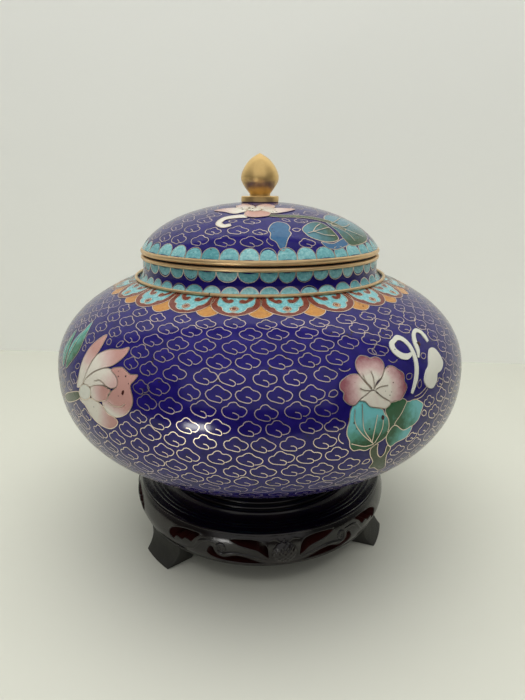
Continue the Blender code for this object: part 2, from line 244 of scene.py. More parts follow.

# %% [markdown]
# ## From grain to a finished enamel
# The ramp runs along the tone with the clouding added, so no two cells look quite the same. The pinholes
# are coloured darker than the enamel round them. The gloss stays in the material itself: its roughness,
# and a reflection that is a little weaker than bare glass has.


# %% A helper that makes an enamel
def enamel(name, stops, cloud=0.35, cloud_size=200.0, pit_size=420.0, roughness=0.16, relief=0.05,
           middle=0.0):
    """A glossy enamel whose colours run along the attribute tone, or lie round middle without one."""
    made = bpy.data.materials.new(name)
    made.use_nodes = True
    tree = made.node_tree
    shader = tree.nodes["Principled BSDF"]
    group = tree.nodes.new("ShaderNodeGroup")
    group.node_tree = grain
    group.inputs["Cloud Size"].default_value = cloud_size
    group.inputs["Pit Size"].default_value = pit_size
    tone = tree.nodes.new("ShaderNodeAttribute")
    tone.attribute_name = "tone"
    centred = maths(tree, "SUBTRACT", group.outputs["Clouding"], 0.5)
    shift = maths(tree, "ADD", maths(tree, "MULTIPLY", centred, cloud * 2), middle)
    ramp = tree.nodes.new("ShaderNodeValToRGB")
    while len(ramp.color_ramp.elements) < len(stops):
        ramp.color_ramp.elements.new(0.5)
    for element, (place, colour) in zip(ramp.color_ramp.elements, stops):
        element.position = place
        element.color = (*colour, 1.0)
    pit_mix = tree.nodes.new("ShaderNodeMix")
    pit_mix.data_type = "RGBA"
    pit_mix.inputs["B"].default_value = (0.02, 0.012, 0.01, 1.0)
    bump = tree.nodes.new("ShaderNodeBump")
    bump.inputs["Strength"].default_value = relief
    bump.inputs["Distance"].default_value = 0.0008
    rough = maths(tree, "ADD", maths(tree, "MULTIPLY", group.outputs["Clouding"], 0.10), roughness - 0.05)
    link_up(tree, (maths(tree, "ADD", tone.outputs["Fac"], shift, True), ramp.inputs["Fac"]),
            (ramp.outputs["Color"], pit_mix.inputs["A"]), (group.outputs["Pits"], pit_mix.inputs["Factor"]),
            (pit_mix.outputs["Result"], shader.inputs["Base Color"]), (rough, shader.inputs["Roughness"]),
            (group.outputs["Height"], bump.inputs["Height"]),
            (bump.outputs["Normal"], shader.inputs["Normal"]))
    shader.inputs["IOR"].default_value = 1.52
    shader.inputs["Specular IOR Level"].default_value = 0.31
    return made


cobalt = enamel("cobalt_enamel", [(0.25, (0.006, 0.003, 0.078)), (0.8, (0.015, 0.008, 0.140))], 0.6, 260.0,
                roughness=0.13, middle=0.5)
counter = enamel("turquoise_counter_enamel", [(0.2, (0.05, 0.26, 0.30)), (0.8, (0.09, 0.36, 0.38))], 0.5,
                 middle=0.5)
turquoise = enamel("turquoise_enamel", [(0.1, (0.07, 0.25, 0.27)), (0.5, (0.16, 0.39, 0.41)),
                                        (0.9, (0.32, 0.56, 0.55))], 0.8, 900.0, 700.0)
print("enamels so far:", cobalt.name, counter.name, turquoise.name)

# %% [markdown]
# ## The jar's body
# One closed section runs down the outside, round the foot ring and back up the inside, so the wall has
# its true thickness and the jar is hollow. The inside is fired with a plain turquoise counter-enamel,
# which real makers need so that the copper doesn't warp.

# %% Turn the body
inner = BELLY_RADIUS - WALL
floor_in = quarter_oval(inner, BELLY_DROP - WALL, BELLY_FULLNESS, 0.0, inner, 16)
roof_in = quarter_oval(inner, SHOULDER_RISE - WALL, SHOULDER_FULLNESS, inner, NECK_RADIUS - WALL, 14)
foot_in = FOOT_RADIUS - FOOT_WALL
foot_roof = WIDEST - BELLY_DROP * (1 - (foot_in / BELLY_RADIUS) ** BELLY_FULLNESS) ** (1 / BELLY_FULLNESS)
section = [tuple(p) for p in neck_line] + [tuple(p) for p in belly_line[1:]]
section += FOOT_HOLLOW + [(FOOT_RADIUS, FOOT_BOTTOM + FOOT_EDGE), (FOOT_RADIUS - FOOT_EDGE, FOOT_BOTTOM),
                          (foot_in + FOOT_EDGE, FOOT_BOTTOM), (foot_in, FOOT_BOTTOM + FOOT_EDGE),
                          (foot_in, foot_roof), (0.0, WIDEST - BELLY_DROP)]
section += [(r, WIDEST - z) for r, z in floor_in] + [(r, WIDEST + z) for r, z in roof_in[1:]]
section += [(NECK_RADIUS - WALL, NECK_TOP)]
jar = turned("jar_enamelled_body", section, 180)
hand_over(jar, cobalt, "enamel", "jar_body")
jar.data.materials.append(counter)
for face in jar.data.polygons:
    radius = math.hypot(face.center.x, face.center.y) / MM
    level = face.center.z / MM
    outside = np.interp(-level, -belly_line[:, 1], belly_line[:, 0], left=NECK_RADIUS)
    if level > FOOT_HOLLOW[1][1] and radius < outside - WALL / 2:
        face.material_index = 1

# %% [markdown]
# ## The lid
# The dome is turned the same way. Its skirt drops into the neck and keeps the lid from sliding off.

# %% Turn the lid
bore = SKIRT_RADIUS - SKIRT_WALL
skirt_end = MOUTH_TOP - SKIRT_DEPTH
inside_turn = np.linspace(0, math.asin(bore / (LID_OVAL - WALL)), 14)
lid_inside = np.column_stack([(LID_OVAL - WALL) * np.sin(inside_turn),
                              LID_TOP - LID_HALF + (LID_HALF - WALL) * np.cos(inside_turn)])
section = [tuple(p) for p in lid_line] + [(SKIRT_RADIUS, LID_BASE), (SKIRT_RADIUS, skirt_end),
                                          (bore, skirt_end)]
section += [tuple(p) for p in lid_inside[::-1]]
lid = turned("lid_enamelled_dome", section, 144)
hand_over(lid, cobalt, "enamel", "jar_lid")
lid.data.materials.append(counter)
for face in lid.data.polygons:
    radius = math.hypot(face.center.x, face.center.y) / MM
    level = face.center.z / MM
    if level < LID_BASE - 0.1 or level < np.interp(radius, lid_line[:, 0], lid_line[:, 1]) - WALL / 2:
        face.material_index = 1

# %% [markdown]
# ## Drawing on a turned skin
# Wires and cells are drawn flat, in millimetres, and then laid on the skin. A skin turns an angle round
# the jar and a distance along the profile into a point and a normal. On the body and the neck, a
# drawing's x runs round the jar and its y runs up. The lid is nearly flat at its crown, so there the
# drawing is laid as on a plate.


# %% The skins
class Skin:
    """The outer surface of a turned piece, for drawings in mm."""

    def __init__(self, line, plate=False):
        self.line = np.asarray(line, float)
        self.along = np.r_[0, np.cumsum(np.hypot(*np.diff(self.line, axis=0).T))]
        slope = np.gradient(self.line, self.along, axis=0)
        self.normals = np.column_stack([-slope[:, 1], slope[:, 0]])
        self.length = self.along[-1]
        self.plate = plate

    def radius(self, along):
        return np.interp(along, self.along, self.line[:, 0])

    def lay(self, points, angle, along):
        """Angles in radians and distances of flat points drawn round a centre."""
        points = np.asarray(points, float)
        angle = math.radians(angle)
        if not self.plate:
            away = along - points[:, 1]
            return angle + points[:, 0] / np.maximum(self.radius(away), 1.0), away
        across = points[:, 0] * along / max(self.radius(along), 1.0)
        east = along * math.sin(angle) + across * math.cos(angle) - points[:, 1] * math.sin(angle)
        south = along * math.cos(angle) - across * math.sin(angle) - points[:, 1] * math.cos(angle)
        return np.arctan2(east, south), np.hypot(east, south)

    def place(self, angles, alongs, lift):
        """Points in metres and outward normals."""
        radius, level = (np.interp(alongs, self.along, column) for column in self.line.T)
        out, up = (np.interp(alongs, self.along, column) for column in self.normals.T)
        size = np.hypot(out, up)
        out, up = out / size, up / size
        radius, level = radius + out * lift, level + up * lift
        points = np.column_stack([radius * np.sin(angles), -radius * np.cos(angles), level]) * MM
        normals = np.column_stack([out * np.sin(angles), -out * np.cos(angles), up])
        return points, normals


belly = Skin(belly_line)
neck = Skin(neck_line)
crown = Skin(lid_line, plate=True)
print("skins, mm along:", round(belly.length, 1), round(neck.length, 1), round(crown.length, 1))

# %% [markdown]
# ## Curves, wires and cells
# A few points are enough for a petal when a smooth curve runs through them. A wire is a strip ground flat
# on top and set into the enamel, three faces to each step and closed at its ends. An operator can't drape
# hundreds of them over a belly, so their meshes are written in code. A cell is a triangulation that keeps
# its outline.


# %% Curve helpers
def curve(points, steps=5, closed=True):
    """A smooth curve through the points."""
    points = np.asarray(points, float)
    count = len(points)
    if not closed:
        points = np.vstack([2 * points[0] - points[1], points, 2 * points[-1] - points[-2]])
    made = []
    for i in range(count if closed else count - 1):
        if closed:
            before, here, after, beyond = (points[(i + k) % count] for k in (-1, 0, 1, 2))
        else:
            before, here, after, beyond = points[i:i + 4]
        for t in np.arange(steps) / steps:
            made.append(0.5 * (2 * here + (after - before) * t
                               + (2 * before - 5 * here + 4 * after - beyond) * t ** 2
                               + (3 * here - before - 3 * after + beyond) * t ** 3))
    if not closed:
        made.append(points[-2])
    return np.array(made)


def spaced(points, count):
    """The same open path with few points, set closer where it bends."""
    step = np.diff(points, axis=0)
    size = np.hypot(*step.T)
    run = np.r_[0, np.cumsum(size)]
    heading = np.unwrap(np.arctan2(step[:, 1], step[:, 0]))
    bend = np.abs(np.gradient(heading)) / size
    weight = np.r_[0, np.cumsum(size * (1 + 1.2 * np.minimum(bend, 2.5)))]
    stops = np.interp(np.linspace(0, weight[-1], count), weight, run)
    return np.column_stack([np.interp(stops, run, points[:, k]) for k in (0, 1)])


def band(points, widths, steps=4):
    """Outline of a curved band whose width changes along its middle line."""
    middle = curve(points, steps, closed=False)
    half = np.interp(np.linspace(0, 1, len(middle)), np.linspace(0, 1, len(widths)), widths)[:, None] / 2
    way = np.gradient(middle, axis=0)
    way /= np.hypot(way[:, 0], way[:, 1])[:, None]
    side = np.column_stack([-way[:, 1], way[:, 0]])
    return np.vstack([middle + side * half, (middle - side * half)[::-1]])


def mesh_piece(name, vertices, faces, sharp=50.0, tone=None):
    """An object at the origin from lists of points and faces."""
    mesh = bpy.data.meshes.new(name)
    mesh.from_pydata(vertices, [], faces)
    mesh.update()
    mesh.shade_smooth()
    mesh.set_sharp_from_angle(angle=math.radians(sharp))
    if tone is not None:
        mesh.attributes.new("tone", "FLOAT", "POINT").data.foreach_set("value", tone)
    piece = bpy.data.objects.new(name, mesh)
    bpy.context.scene.collection.objects.link(piece)
    return piece


# %% The wire helper
WIRE_WIDTH = 0.33
WIRE_RISE = 0.022
WIRE_SINK = 0.05


def wires(name, paths, skin):
    """One piece of many wires. Each path is (angles, alongs, lift, closed)."""
    vertices, faces = [], []
    base = 0
    for angles, alongs, lift, closed in paths:
        points, normals = skin.place(angles, alongs, lift)
        count = len(points)
        if closed:
            way = np.roll(points, -1, axis=0) - np.roll(points, 1, axis=0)
        else:
            way = np.gradient(points, axis=0)
        side = np.cross(way, normals)
        side /= np.linalg.norm(side, axis=1)[:, None]
        half = side * WIRE_WIDTH / 2 * MM
        top = points + normals * WIRE_RISE * MM
        ring = np.stack([top - half, top + half, points - normals * WIRE_SINK * MM], axis=1)
        vertices.extend(map(tuple, ring.reshape(-1, 3)))
        for i in range(count if closed else count - 1):
            a, b = base + 3 * i, base + 3 * ((i + 1) % count)
            faces += [(a + 1, b + 1, b, a), (a + 2, b + 2, b + 1, a + 1), (a, b, b + 2, a + 2)]
        if not closed:
            end = base + 3 * (count - 1)
            faces += [(base + 2, base + 1, base), (end, end + 1, end + 2)]
        base += 3 * count
    return mesh_piece(name, vertices, faces)


# %% The cell helper
CELL_RISE = 0.03
CELL_SINK = 0.06
CELL_GRID = 1.3


def inside(points, outline):
    """Which points lie inside a closed outline."""
    x, y = np.asarray(points, float).T
    hit = np.zeros(len(x), bool)
    for (ax, ay), (bx, by) in zip(outline, np.roll(outline, -1, axis=0)):
        if ay != by:
            hit ^= ((ay > y) != (by > y)) & (x < (bx - ax) * (y - ay) / (by - ay) + ax)
    return hit


def fade(points, tone):
    """Tone of flat points: a number, a line (x0, y0, x1, y1) or a ring (x, y, near, far)."""
    if isinstance(tone, (int, float)):
        return np.full(len(points), float(tone))
    kind, a, b, c, d = tone
    if kind == "ring":
        return np.clip((np.hypot(points[:, 0] - a, points[:, 1] - b) - c) / (d - c), 0, 1)
    way = np.array([c - a, d - b])
    return np.clip((points - (a, b)) @ way / (way @ way), 0, 1)


def cells(name, drawn, skin):
    """One piece of many enamel cells. Each is (outline, angle, along, lift, tone)."""
    vertices, faces, tones = [], [], []
    for outline, angle, along, lift, tone in drawn:
        low, high = outline.min(axis=0), outline.max(axis=0)
        grid = np.stack(np.meshgrid(np.arange(low[0], high[0], CELL_GRID),
                                    np.arange(low[1], high[1], CELL_GRID)),
                        axis=-1).reshape(-1, 2) + CELL_GRID / 3
        gaps = np.hypot(*(grid[:, None, :] - outline[None, :, :]).transpose(2, 0, 1)).min(axis=1)
        grid = grid[inside(grid, outline) & (gaps > 0.4 * CELL_GRID)]
        flat = [tuple(p) for p in np.vstack([outline, grid])]
        points, _, triangles, *_ = delaunay_2d_cdt(flat, [], [list(range(len(outline)))], 1, 1e-5)
        points = np.array([tuple(p) for p in points])
        angles, alongs = skin.lay(points, angle, along)
        base, count = len(vertices), len(points)
        for level in (lift + CELL_RISE, -CELL_SINK):
            vertices.extend(map(tuple, skin.place(angles, alongs, level)[0]))
            tones.extend(fade(points, tone))
        rim = {}
        for triangle in triangles:
            loop = list(triangle)
            (ax, ay), (bx, by), (cx, cy) = (points[k] for k in loop[:3])
            if (bx - ax) * (cy - ay) - (by - ay) * (cx - ax) < 0:
                loop.reverse()
            faces.append([base + k for k in loop])
            faces.append([base + count + k for k in reversed(loop)])
            for a, b in zip(loop, loop[1:] + loop[:1]):
                if rim.pop((b, a), None) is None:
                    rim[(a, b)] = True
        faces += [(base + b, base + a, base + count + a, base + count + b) for a, b in rim]
    return mesh_piece(name, vertices, faces, sharp=40.0, tone=tones)


# %% [markdown]
# ## Brass
# The wires, the rings and the bud are gilt brass. The wires are ground flush with the enamel, so they
# shine where they face the light and look brown where they don't. The bud keeps the fine lines of the
# turning tool. The tarnish and those lines are one node group, which every brass uses with its own line
# strength.

# %% The tarnish group
tarnish = bpy.data.node_groups.new("brass tarnish", "ShaderNodeTree")
socket(tarnish, "Line Strength", "NodeSocketFloat", "INPUT", 0.0)
socket(tarnish, "Tarnish", "NodeSocketFloat", "OUTPUT")
socket(tarnish, "Height", "NodeSocketFloat", "OUTPUT")
tarnish_in = tarnish.nodes.new("NodeGroupInput")
tarnish_out = tarnish.nodes.new("NodeGroupOutput")
tarnish_place = tarnish.nodes.new("ShaderNodeTexCoord").outputs["Object"]
blooms = noise(tarnish, tarnish_place, 140.0, 5.0, 0.6)
tool_lines = tarnish.nodes.new("ShaderNodeTexWave")
tool_lines.bands_direction = "Z"
tool_lines.inputs["Scale"].default_value = 560.0
tool_lines.inputs["Distortion"].default_value = 1.2
tool_lines.inputs["Detail"].default_value = 3.0
line_height = maths(tarnish, "MULTIPLY", tool_lines.outputs["Fac"], tarnish_in.outputs["Line Strength"])
link_up(tarnish, (tarnish_place, tool_lines.inputs["Vector"]), (blooms, tarnish_out.inputs["Tarnish"]),
        (maths(tarnish, "ADD", line_height, blooms), tarnish_out.inputs["Height"]))
print("group made:", tarnish.name)


# %% A helper that makes brass
def brass(name, bright, dull, roughness, lines=0.0, metallic=1.0):
    """Gilt brass with tarnish clouds, and fine turned lines where lines is above 0."""
    made = bpy.data.materials.new(name)
    made.use_nodes = True
    tree = made.node_tree
    shader = tree.nodes["Principled BSDF"]
    group = tree.nodes.new("ShaderNodeGroup")
    group.node_tree = tarnish
    group.inputs["Line Strength"].default_value = lines
    mix = tree.nodes.new("ShaderNodeMix")
    mix.data_type = "RGBA"
    mix.inputs["A"].default_value = (*bright, 1.0)
    mix.inputs["B"].default_value = (*dull, 1.0)
    bump = tree.nodes.new("ShaderNodeBump")
    bump.inputs["Strength"].default_value = 0.2
    bump.inputs["Distance"].default_value = 0.00008
    rough = maths(tree, "ADD", maths(tree, "MULTIPLY", group.outputs["Tarnish"], 0.2), roughness - 0.1)
    link_up(tree, (group.outputs["Tarnish"], mix.inputs["Factor"]),
            (group.outputs["Height"], bump.inputs["Height"]),
            (mix.outputs["Result"], shader.inputs["Base Color"]),
            (bump.outputs["Normal"], shader.inputs["Normal"]),
            (rough, shader.inputs["Roughness"]))
    shader.inputs["Metallic"].default_value = metallic
    return made


wire_brass = brass("wire_brass", (0.90, 0.77, 0.64), (0.62, 0.50, 0.40), 0.34)
ring_brass = brass("ring_brass", (0.90, 0.66, 0.38), (0.64, 0.42, 0.20), 0.34, 0.4, metallic=0.85)
bud_brass = brass("turned_brass", (0.95, 0.68, 0.29), (0.70, 0.45, 0.16), 0.33, 2.0, metallic=0.72)
# Near black: painted shade for the step in the gap under the lid ring, and also the colour of the neck
# strip's dark joint.
gap_shade_and_joint_dark = brass("painted_gap_shade_and_dark_joint", (0.012, 0.008, 0.005), (0.004, 0.003, 0.002), 0.6, metallic=0.2)
print("metals:", wire_brass.name, ring_brass.name, bud_brass.name)

# %% [markdown]
# ## Rings and bud
# The mouth and the lid each have a ring of half-round brass, soldered on. Painted shade darkens the gap
# between them.
# The strip in the corner of the neck is a single wire whose ends meet in a joint that shows. The bud is
# turned from the solid and screwed on.


# %% Turn the brass pieces
def half_round(inner, outer, bottom, top, count=9):
    """Closed section of a ring with a rounded outer edge."""
    soft = (top - bottom) / 2
    turn = np.linspace(-math.pi / 2, math.pi / 2, count)
    edge = [(outer - soft * 0.9 + soft * 0.9 * math.cos(t),
             (top + bottom) / 2 + soft * math.sin(t)) for t in turn]
    return [(inner, bottom)] + edge + [(inner, top)]


mouth_ring = turned("mouth_brass_ring", half_round(NECK_RADIUS - WALL, RING_RADIUS, MOUTH_BASE, MOUTH_TOP),
                    160)
hand_over(mouth_ring, ring_brass, "brass", "mouth_rim_ring")
SKIRT_GAP = SKIRT_RADIUS + 0.3
lid_section = half_round(SKIRT_GAP, RING_RADIUS, LID_RING_BASE, LID_RING_TOP)
SHADED_GAP_RADIUS = RING_RADIUS - 1.5
lid_section = [(SKIRT_GAP, MOUTH_TOP + 0.1), (SHADED_GAP_RADIUS, MOUTH_TOP + 0.1),
               (SHADED_GAP_RADIUS, LID_RING_BASE)] + lid_section[1:]
lid_ring = turned("lid_brass_edge", lid_section, 160)
hand_over(lid_ring, ring_brass, "brass", "lid_rim_ring")
# Painted shade: the step faces inside the gap under the lid ring get the near-black material in place of a
# shadow.
lid_ring.data.materials.append(gap_shade_and_joint_dark)
for face in lid_ring.data.polygons:
    in_painted_gap_shade = math.hypot(face.center.x, face.center.y) < (SHADED_GAP_RADIUS + 0.1) * MM
    if in_painted_gap_shade and face.center.z < LID_RING_BASE * MM:
        face.material_index = 1

STRIP_RADIUS, STRIP_SLOPE, STRIP_OUT = 0.72, math.radians(48), 0.95
STRIP_JOINT, STRIP_GAP, JOINT_PROUD = -19.0, 0.35, 1.04
strip_middle = (SHOULDER_RADIUS + STRIP_OUT * math.cos(STRIP_SLOPE),
                NECK_BASE + STRIP_OUT * math.sin(STRIP_SLOPE))
strip_section = [(strip_middle[0] + STRIP_RADIUS * math.cos(t), strip_middle[1] + STRIP_RADIUS * math.sin(t))
                 for t in np.linspace(0, math.tau, 11)[:-1]]
strip = turned("neck_brass_strip", strip_section, 160)
hand_over(strip, ring_brass, "brass", "neck_base_ring")

joint_points = []
for way in (-1, 1):
    angle = math.radians(STRIP_JOINT) + way * STRIP_GAP / 2 / SHOULDER_RADIUS
    for radius, level in strip_section:
        radius, level = (m + JOINT_PROUD * (v - m) for v, m in zip((radius, level), strip_middle))
        joint_points.append((radius * math.sin(angle) * MM, -radius * math.cos(angle) * MM, level * MM))
count = len(strip_section)
joint_faces = [list(range(count))[::-1], list(range(count, 2 * count))]
joint_faces += [(i, (i + 1) % count, count + (i + 1) % count, count + i) for i in range(count)]
hand_over(mesh_piece("neck_strip_joint", joint_points, joint_faces), gap_shade_and_joint_dark, "brass")

BUD_LOW = [(0.0, 4.95), (0.10, 5.5), (0.24, 6.3), (0.42, 7.25), (0.60, 8.1), (0.78, 8.75), (0.92, 9.05)]
BUD_HIGH = [(0.0, 9.1), (0.12, 8.95), (0.28, 8.35), (0.47, 7.2), (0.62, 5.95), (0.76, 4.45), (0.88, 2.5),
            (0.96, 0.85)]
BUD_BASE, BUD_WIDE, BUD_TIP = 176.15, 183.39, 194.69
DISC_RADIUS, DISC_BASE, DISC_TOP, DISC_EDGE, STEM_RADIUS = 9.1, 172.3, 175.1, 0.3, 5.2
low_curve = curve([(r, BUD_BASE + (BUD_WIDE - BUD_BASE) * s) for s, r in BUD_LOW], 3, closed=False)
high_curve = curve([(r, BUD_WIDE + (BUD_TIP - BUD_WIDE) * s) for s, r in BUD_HIGH], 4, closed=False)
bud_section = [(0.0, DISC_BASE), (DISC_RADIUS - DISC_EDGE, DISC_BASE), (DISC_RADIUS, DISC_BASE + DISC_EDGE),
               (DISC_RADIUS, DISC_TOP - DISC_EDGE), (DISC_RADIUS - DISC_EDGE, DISC_TOP),
               (STEM_RADIUS, DISC_TOP), (STEM_RADIUS - 0.25, DISC_TOP + 0.2)]
bud_section += [tuple(p) for p in low_curve] + [tuple(p) for p in high_curve[1:]] + [(0.0, BUD_TIP)]
bud = turned("lid_brass_bud", bud_section, 64, sharp=40)
hand_over(bud, bud_brass, "brass", "lid_finial")

# %% [markdown]
# ## The cloud ground
# The whole blue ground is filled with small clouds, each bent by hand from one wire: a lobe on either
# side, a round top, and an end that hooks in from below. One cloud is drawn here. Every copy is then
# pulled about a little, because no two are alike, and the rows stand like bricks.

# %% One cloud and its small fillers
CLOUD = np.array([(-0.7, -0.6), (0.7, -0.95), (1.5, -1.9), (1.0, -2.85), (-0.4, -2.75), (-1.9, -2.35),
                  (-3.4, -1.75), (-4.35, -0.2), (-3.7, 1.2), (-2.35, 1.5), (-1.6, 2.55), (-0.3, 3.0),
                  (0.9, 2.55), (1.65, 1.65), (3.3, 1.2), (4.4, 0.05), (3.85, -1.3), (2.8, -1.95),
                  (1.85, -2.05)])
DROP = np.array([(1.9, 0.0), (0.7, 1.0), (-0.8, 1.1), (-1.7, 0.3), (-1.2, -0.8), (0.2, -1.1), (1.2, -0.7),
                 (1.9, 0.0)])
ARC = np.array([(-0.6, 2.0), (-1.1, 0.9), (-0.9, -0.4), (0.0, -1.6), (0.9, -2.2)])
CLOUD_STEPS = 28
WOBBLE = 0.07
chance = random.Random(7)


def shaken(shape, stretch=1.0, turn=0.0):
    """A copy of a wire shape, bent a little differently by hand."""
    noise_points = np.array([(chance.gauss(0, WOBBLE), chance.gauss(0, WOBBLE)) for _ in shape])
    spin = math.radians(turn + chance.gauss(0, 3.0))
    way = np.array([(math.cos(spin), math.sin(spin)), (-math.sin(spin), math.cos(spin))])
    size = stretch * (1 + chance.gauss(0, 0.03))
    return (shape * (size * (1 + chance.gauss(0, 0.04)), size) + noise_points) @ way


print("points in a cloud:", len(CLOUD))

# %% [markdown]
# ## Two sprays of flowers
# A pointed lily-like flower opens on the left and a five-lobed mallow on the right, with leaves, a green
# stem and white scrolls. Each is a short list of cells: an outline of a few points round the flower's own
# centre, and how its colour fades. The back of the jar gets the same two, as makers repeat their
# drawings.

# %% Cells of the left spray
LILY = {
    "petals": [
        ([(-6.8, 0.2), (-6.6, 4.1), (-7.0, 11.9), (-5.4, 19.0), (-0.5, 24.6), (1.2, 17.6), (-0.7, 11.0),
          (-2.3, 2.8)],
         ("line", -6.0, 6.0, -1.5, 19.0)),
        ([(-2.2, 3.0), (-1.5, 6.7), (0.7, 14.1), (2.7, 16.8), (7.0, 19.2), (12.4, 20.4), (16.0, 21.9),
          (16.4, 18.2), (13.0, 13.7), (7.4, 11.2), (3.1, 8.8),
          (-0.4, 5.6)], ("line", 3.0, 10.0, 14.0, 19.5)),
        ([(-1.6, 3.3), (1.1, 6.7), (5.0, 9.6), (10.1, 11.9), (14.6, 11.7), (17.3, 9.6), (18.7, 6.7),
          (16.0, 5.2), (11.1, 5.4), (3.6, 2.9)], ("line", 6.0, 8.0, 24.0, 3.0)),
        ([(13.0, 12.0), (17.6, 13.8), (20.7, 12.9), (23.2, 12.0), (26.6, 12.3), (25.9, 9.9), (25.0, 7.9),
          (27.2, 3.9), (27.4, 1.1), (25.6, -2.1), (22.3, -4.3), (18.7, -5.3), (15.0, -4.9), (12.3, -1.9),
          (12.4, -0.4), (14.7, 0.9), (16.2, 3.9), (18.6, 6.7),
          (17.3, 9.6)], ("line", 17.5, -5.0, 19.0, 1.5)),
        ([(3.7, 2.6), (7.2, 4.5), (11.2, 5.2), (14.3, 4.8), (16.0, 4.2), (14.9, 2.4), (14.6, 0.7),
          (12.2, -0.5), (8.6, -1.4), (5.3, -1.0)], ("line", 3.0, 0.0, 13.0, 4.0)),
        ([(-3.9, -4.0), (0.0, -5.5), (2.7, -7.9), (6.4, -10.1), (11.0, -11.2), (15.5, -11.0), (19.1, -9.0),
          (20.3, -6.8), (18.2, -5.4), (15.4, -5.0), (13.0, -3.3), (10.0, -1.8), (5.8, -1.4), (4.0, -1.5)],
         ("line", 7.0, -6.0, 18.0, -8.0)),
    ],
    "hearts": [([(-4.6, -1.3), (-3.3, 1.6), (-0.5, 3.0), (3.0, 2.6), (4.4, 0.9), (3.4, -1.6), (0.0, -3.2),
                 (-3.1, -3.1)], 0.25)],
    "leaves": [
        ([(-18.6, 27.0), (-20.0, 22.5), (-22.3, 18.7), (-24.0, 14.6), (-24.3, 10.4), (-23.6, 6.5),
          (-21.5, 4.1), (-17.8, 7.0), (-14.8, 10.7), (-13.4, 13.8), (-13.9, 17.0), (-15.4, 21.5)],
         ("line", -28.0, 19.0, -12.5, 11.0)),
        ([(-28.6, 20.0), (-31.4, 13.2), (-31.8, 8.9), (-29.6, 5.5), (-26.4, 3.6), (-24.9, 5.6),
          (-25.2, 9.0), (-25.6, 14.0)], ("line", -33.5, 10.0, -20.0, 12.0)),
    ],
    "stems": [
        ([(-5.2, -1.4), (-12.0, -3.4), (-19.0, -6.2), (-23.5, -9.0), (-20.0, -10.4), (-11.0, -7.2),
          (-4.2, -3.6)], 0.5),
    ],
    "veins": [[(5.6, 5.8), (8.5, 6.8), (11.4, 6.1), (13.6, 5.0)],
              [(15.0, -0.2), (17.9, -1.0), (21.8, -0.6), (24.0, 0.8)],
              [(-22.2, 5.5), (-20.6, 12.0), (-19.2, 20.0), (-18.9, 25.0)],
              [(-26.8, 4.8), (-28.4, 10.0), (-28.7, 17.0)]],
    "spots": [(22.3, 4.9)],
}

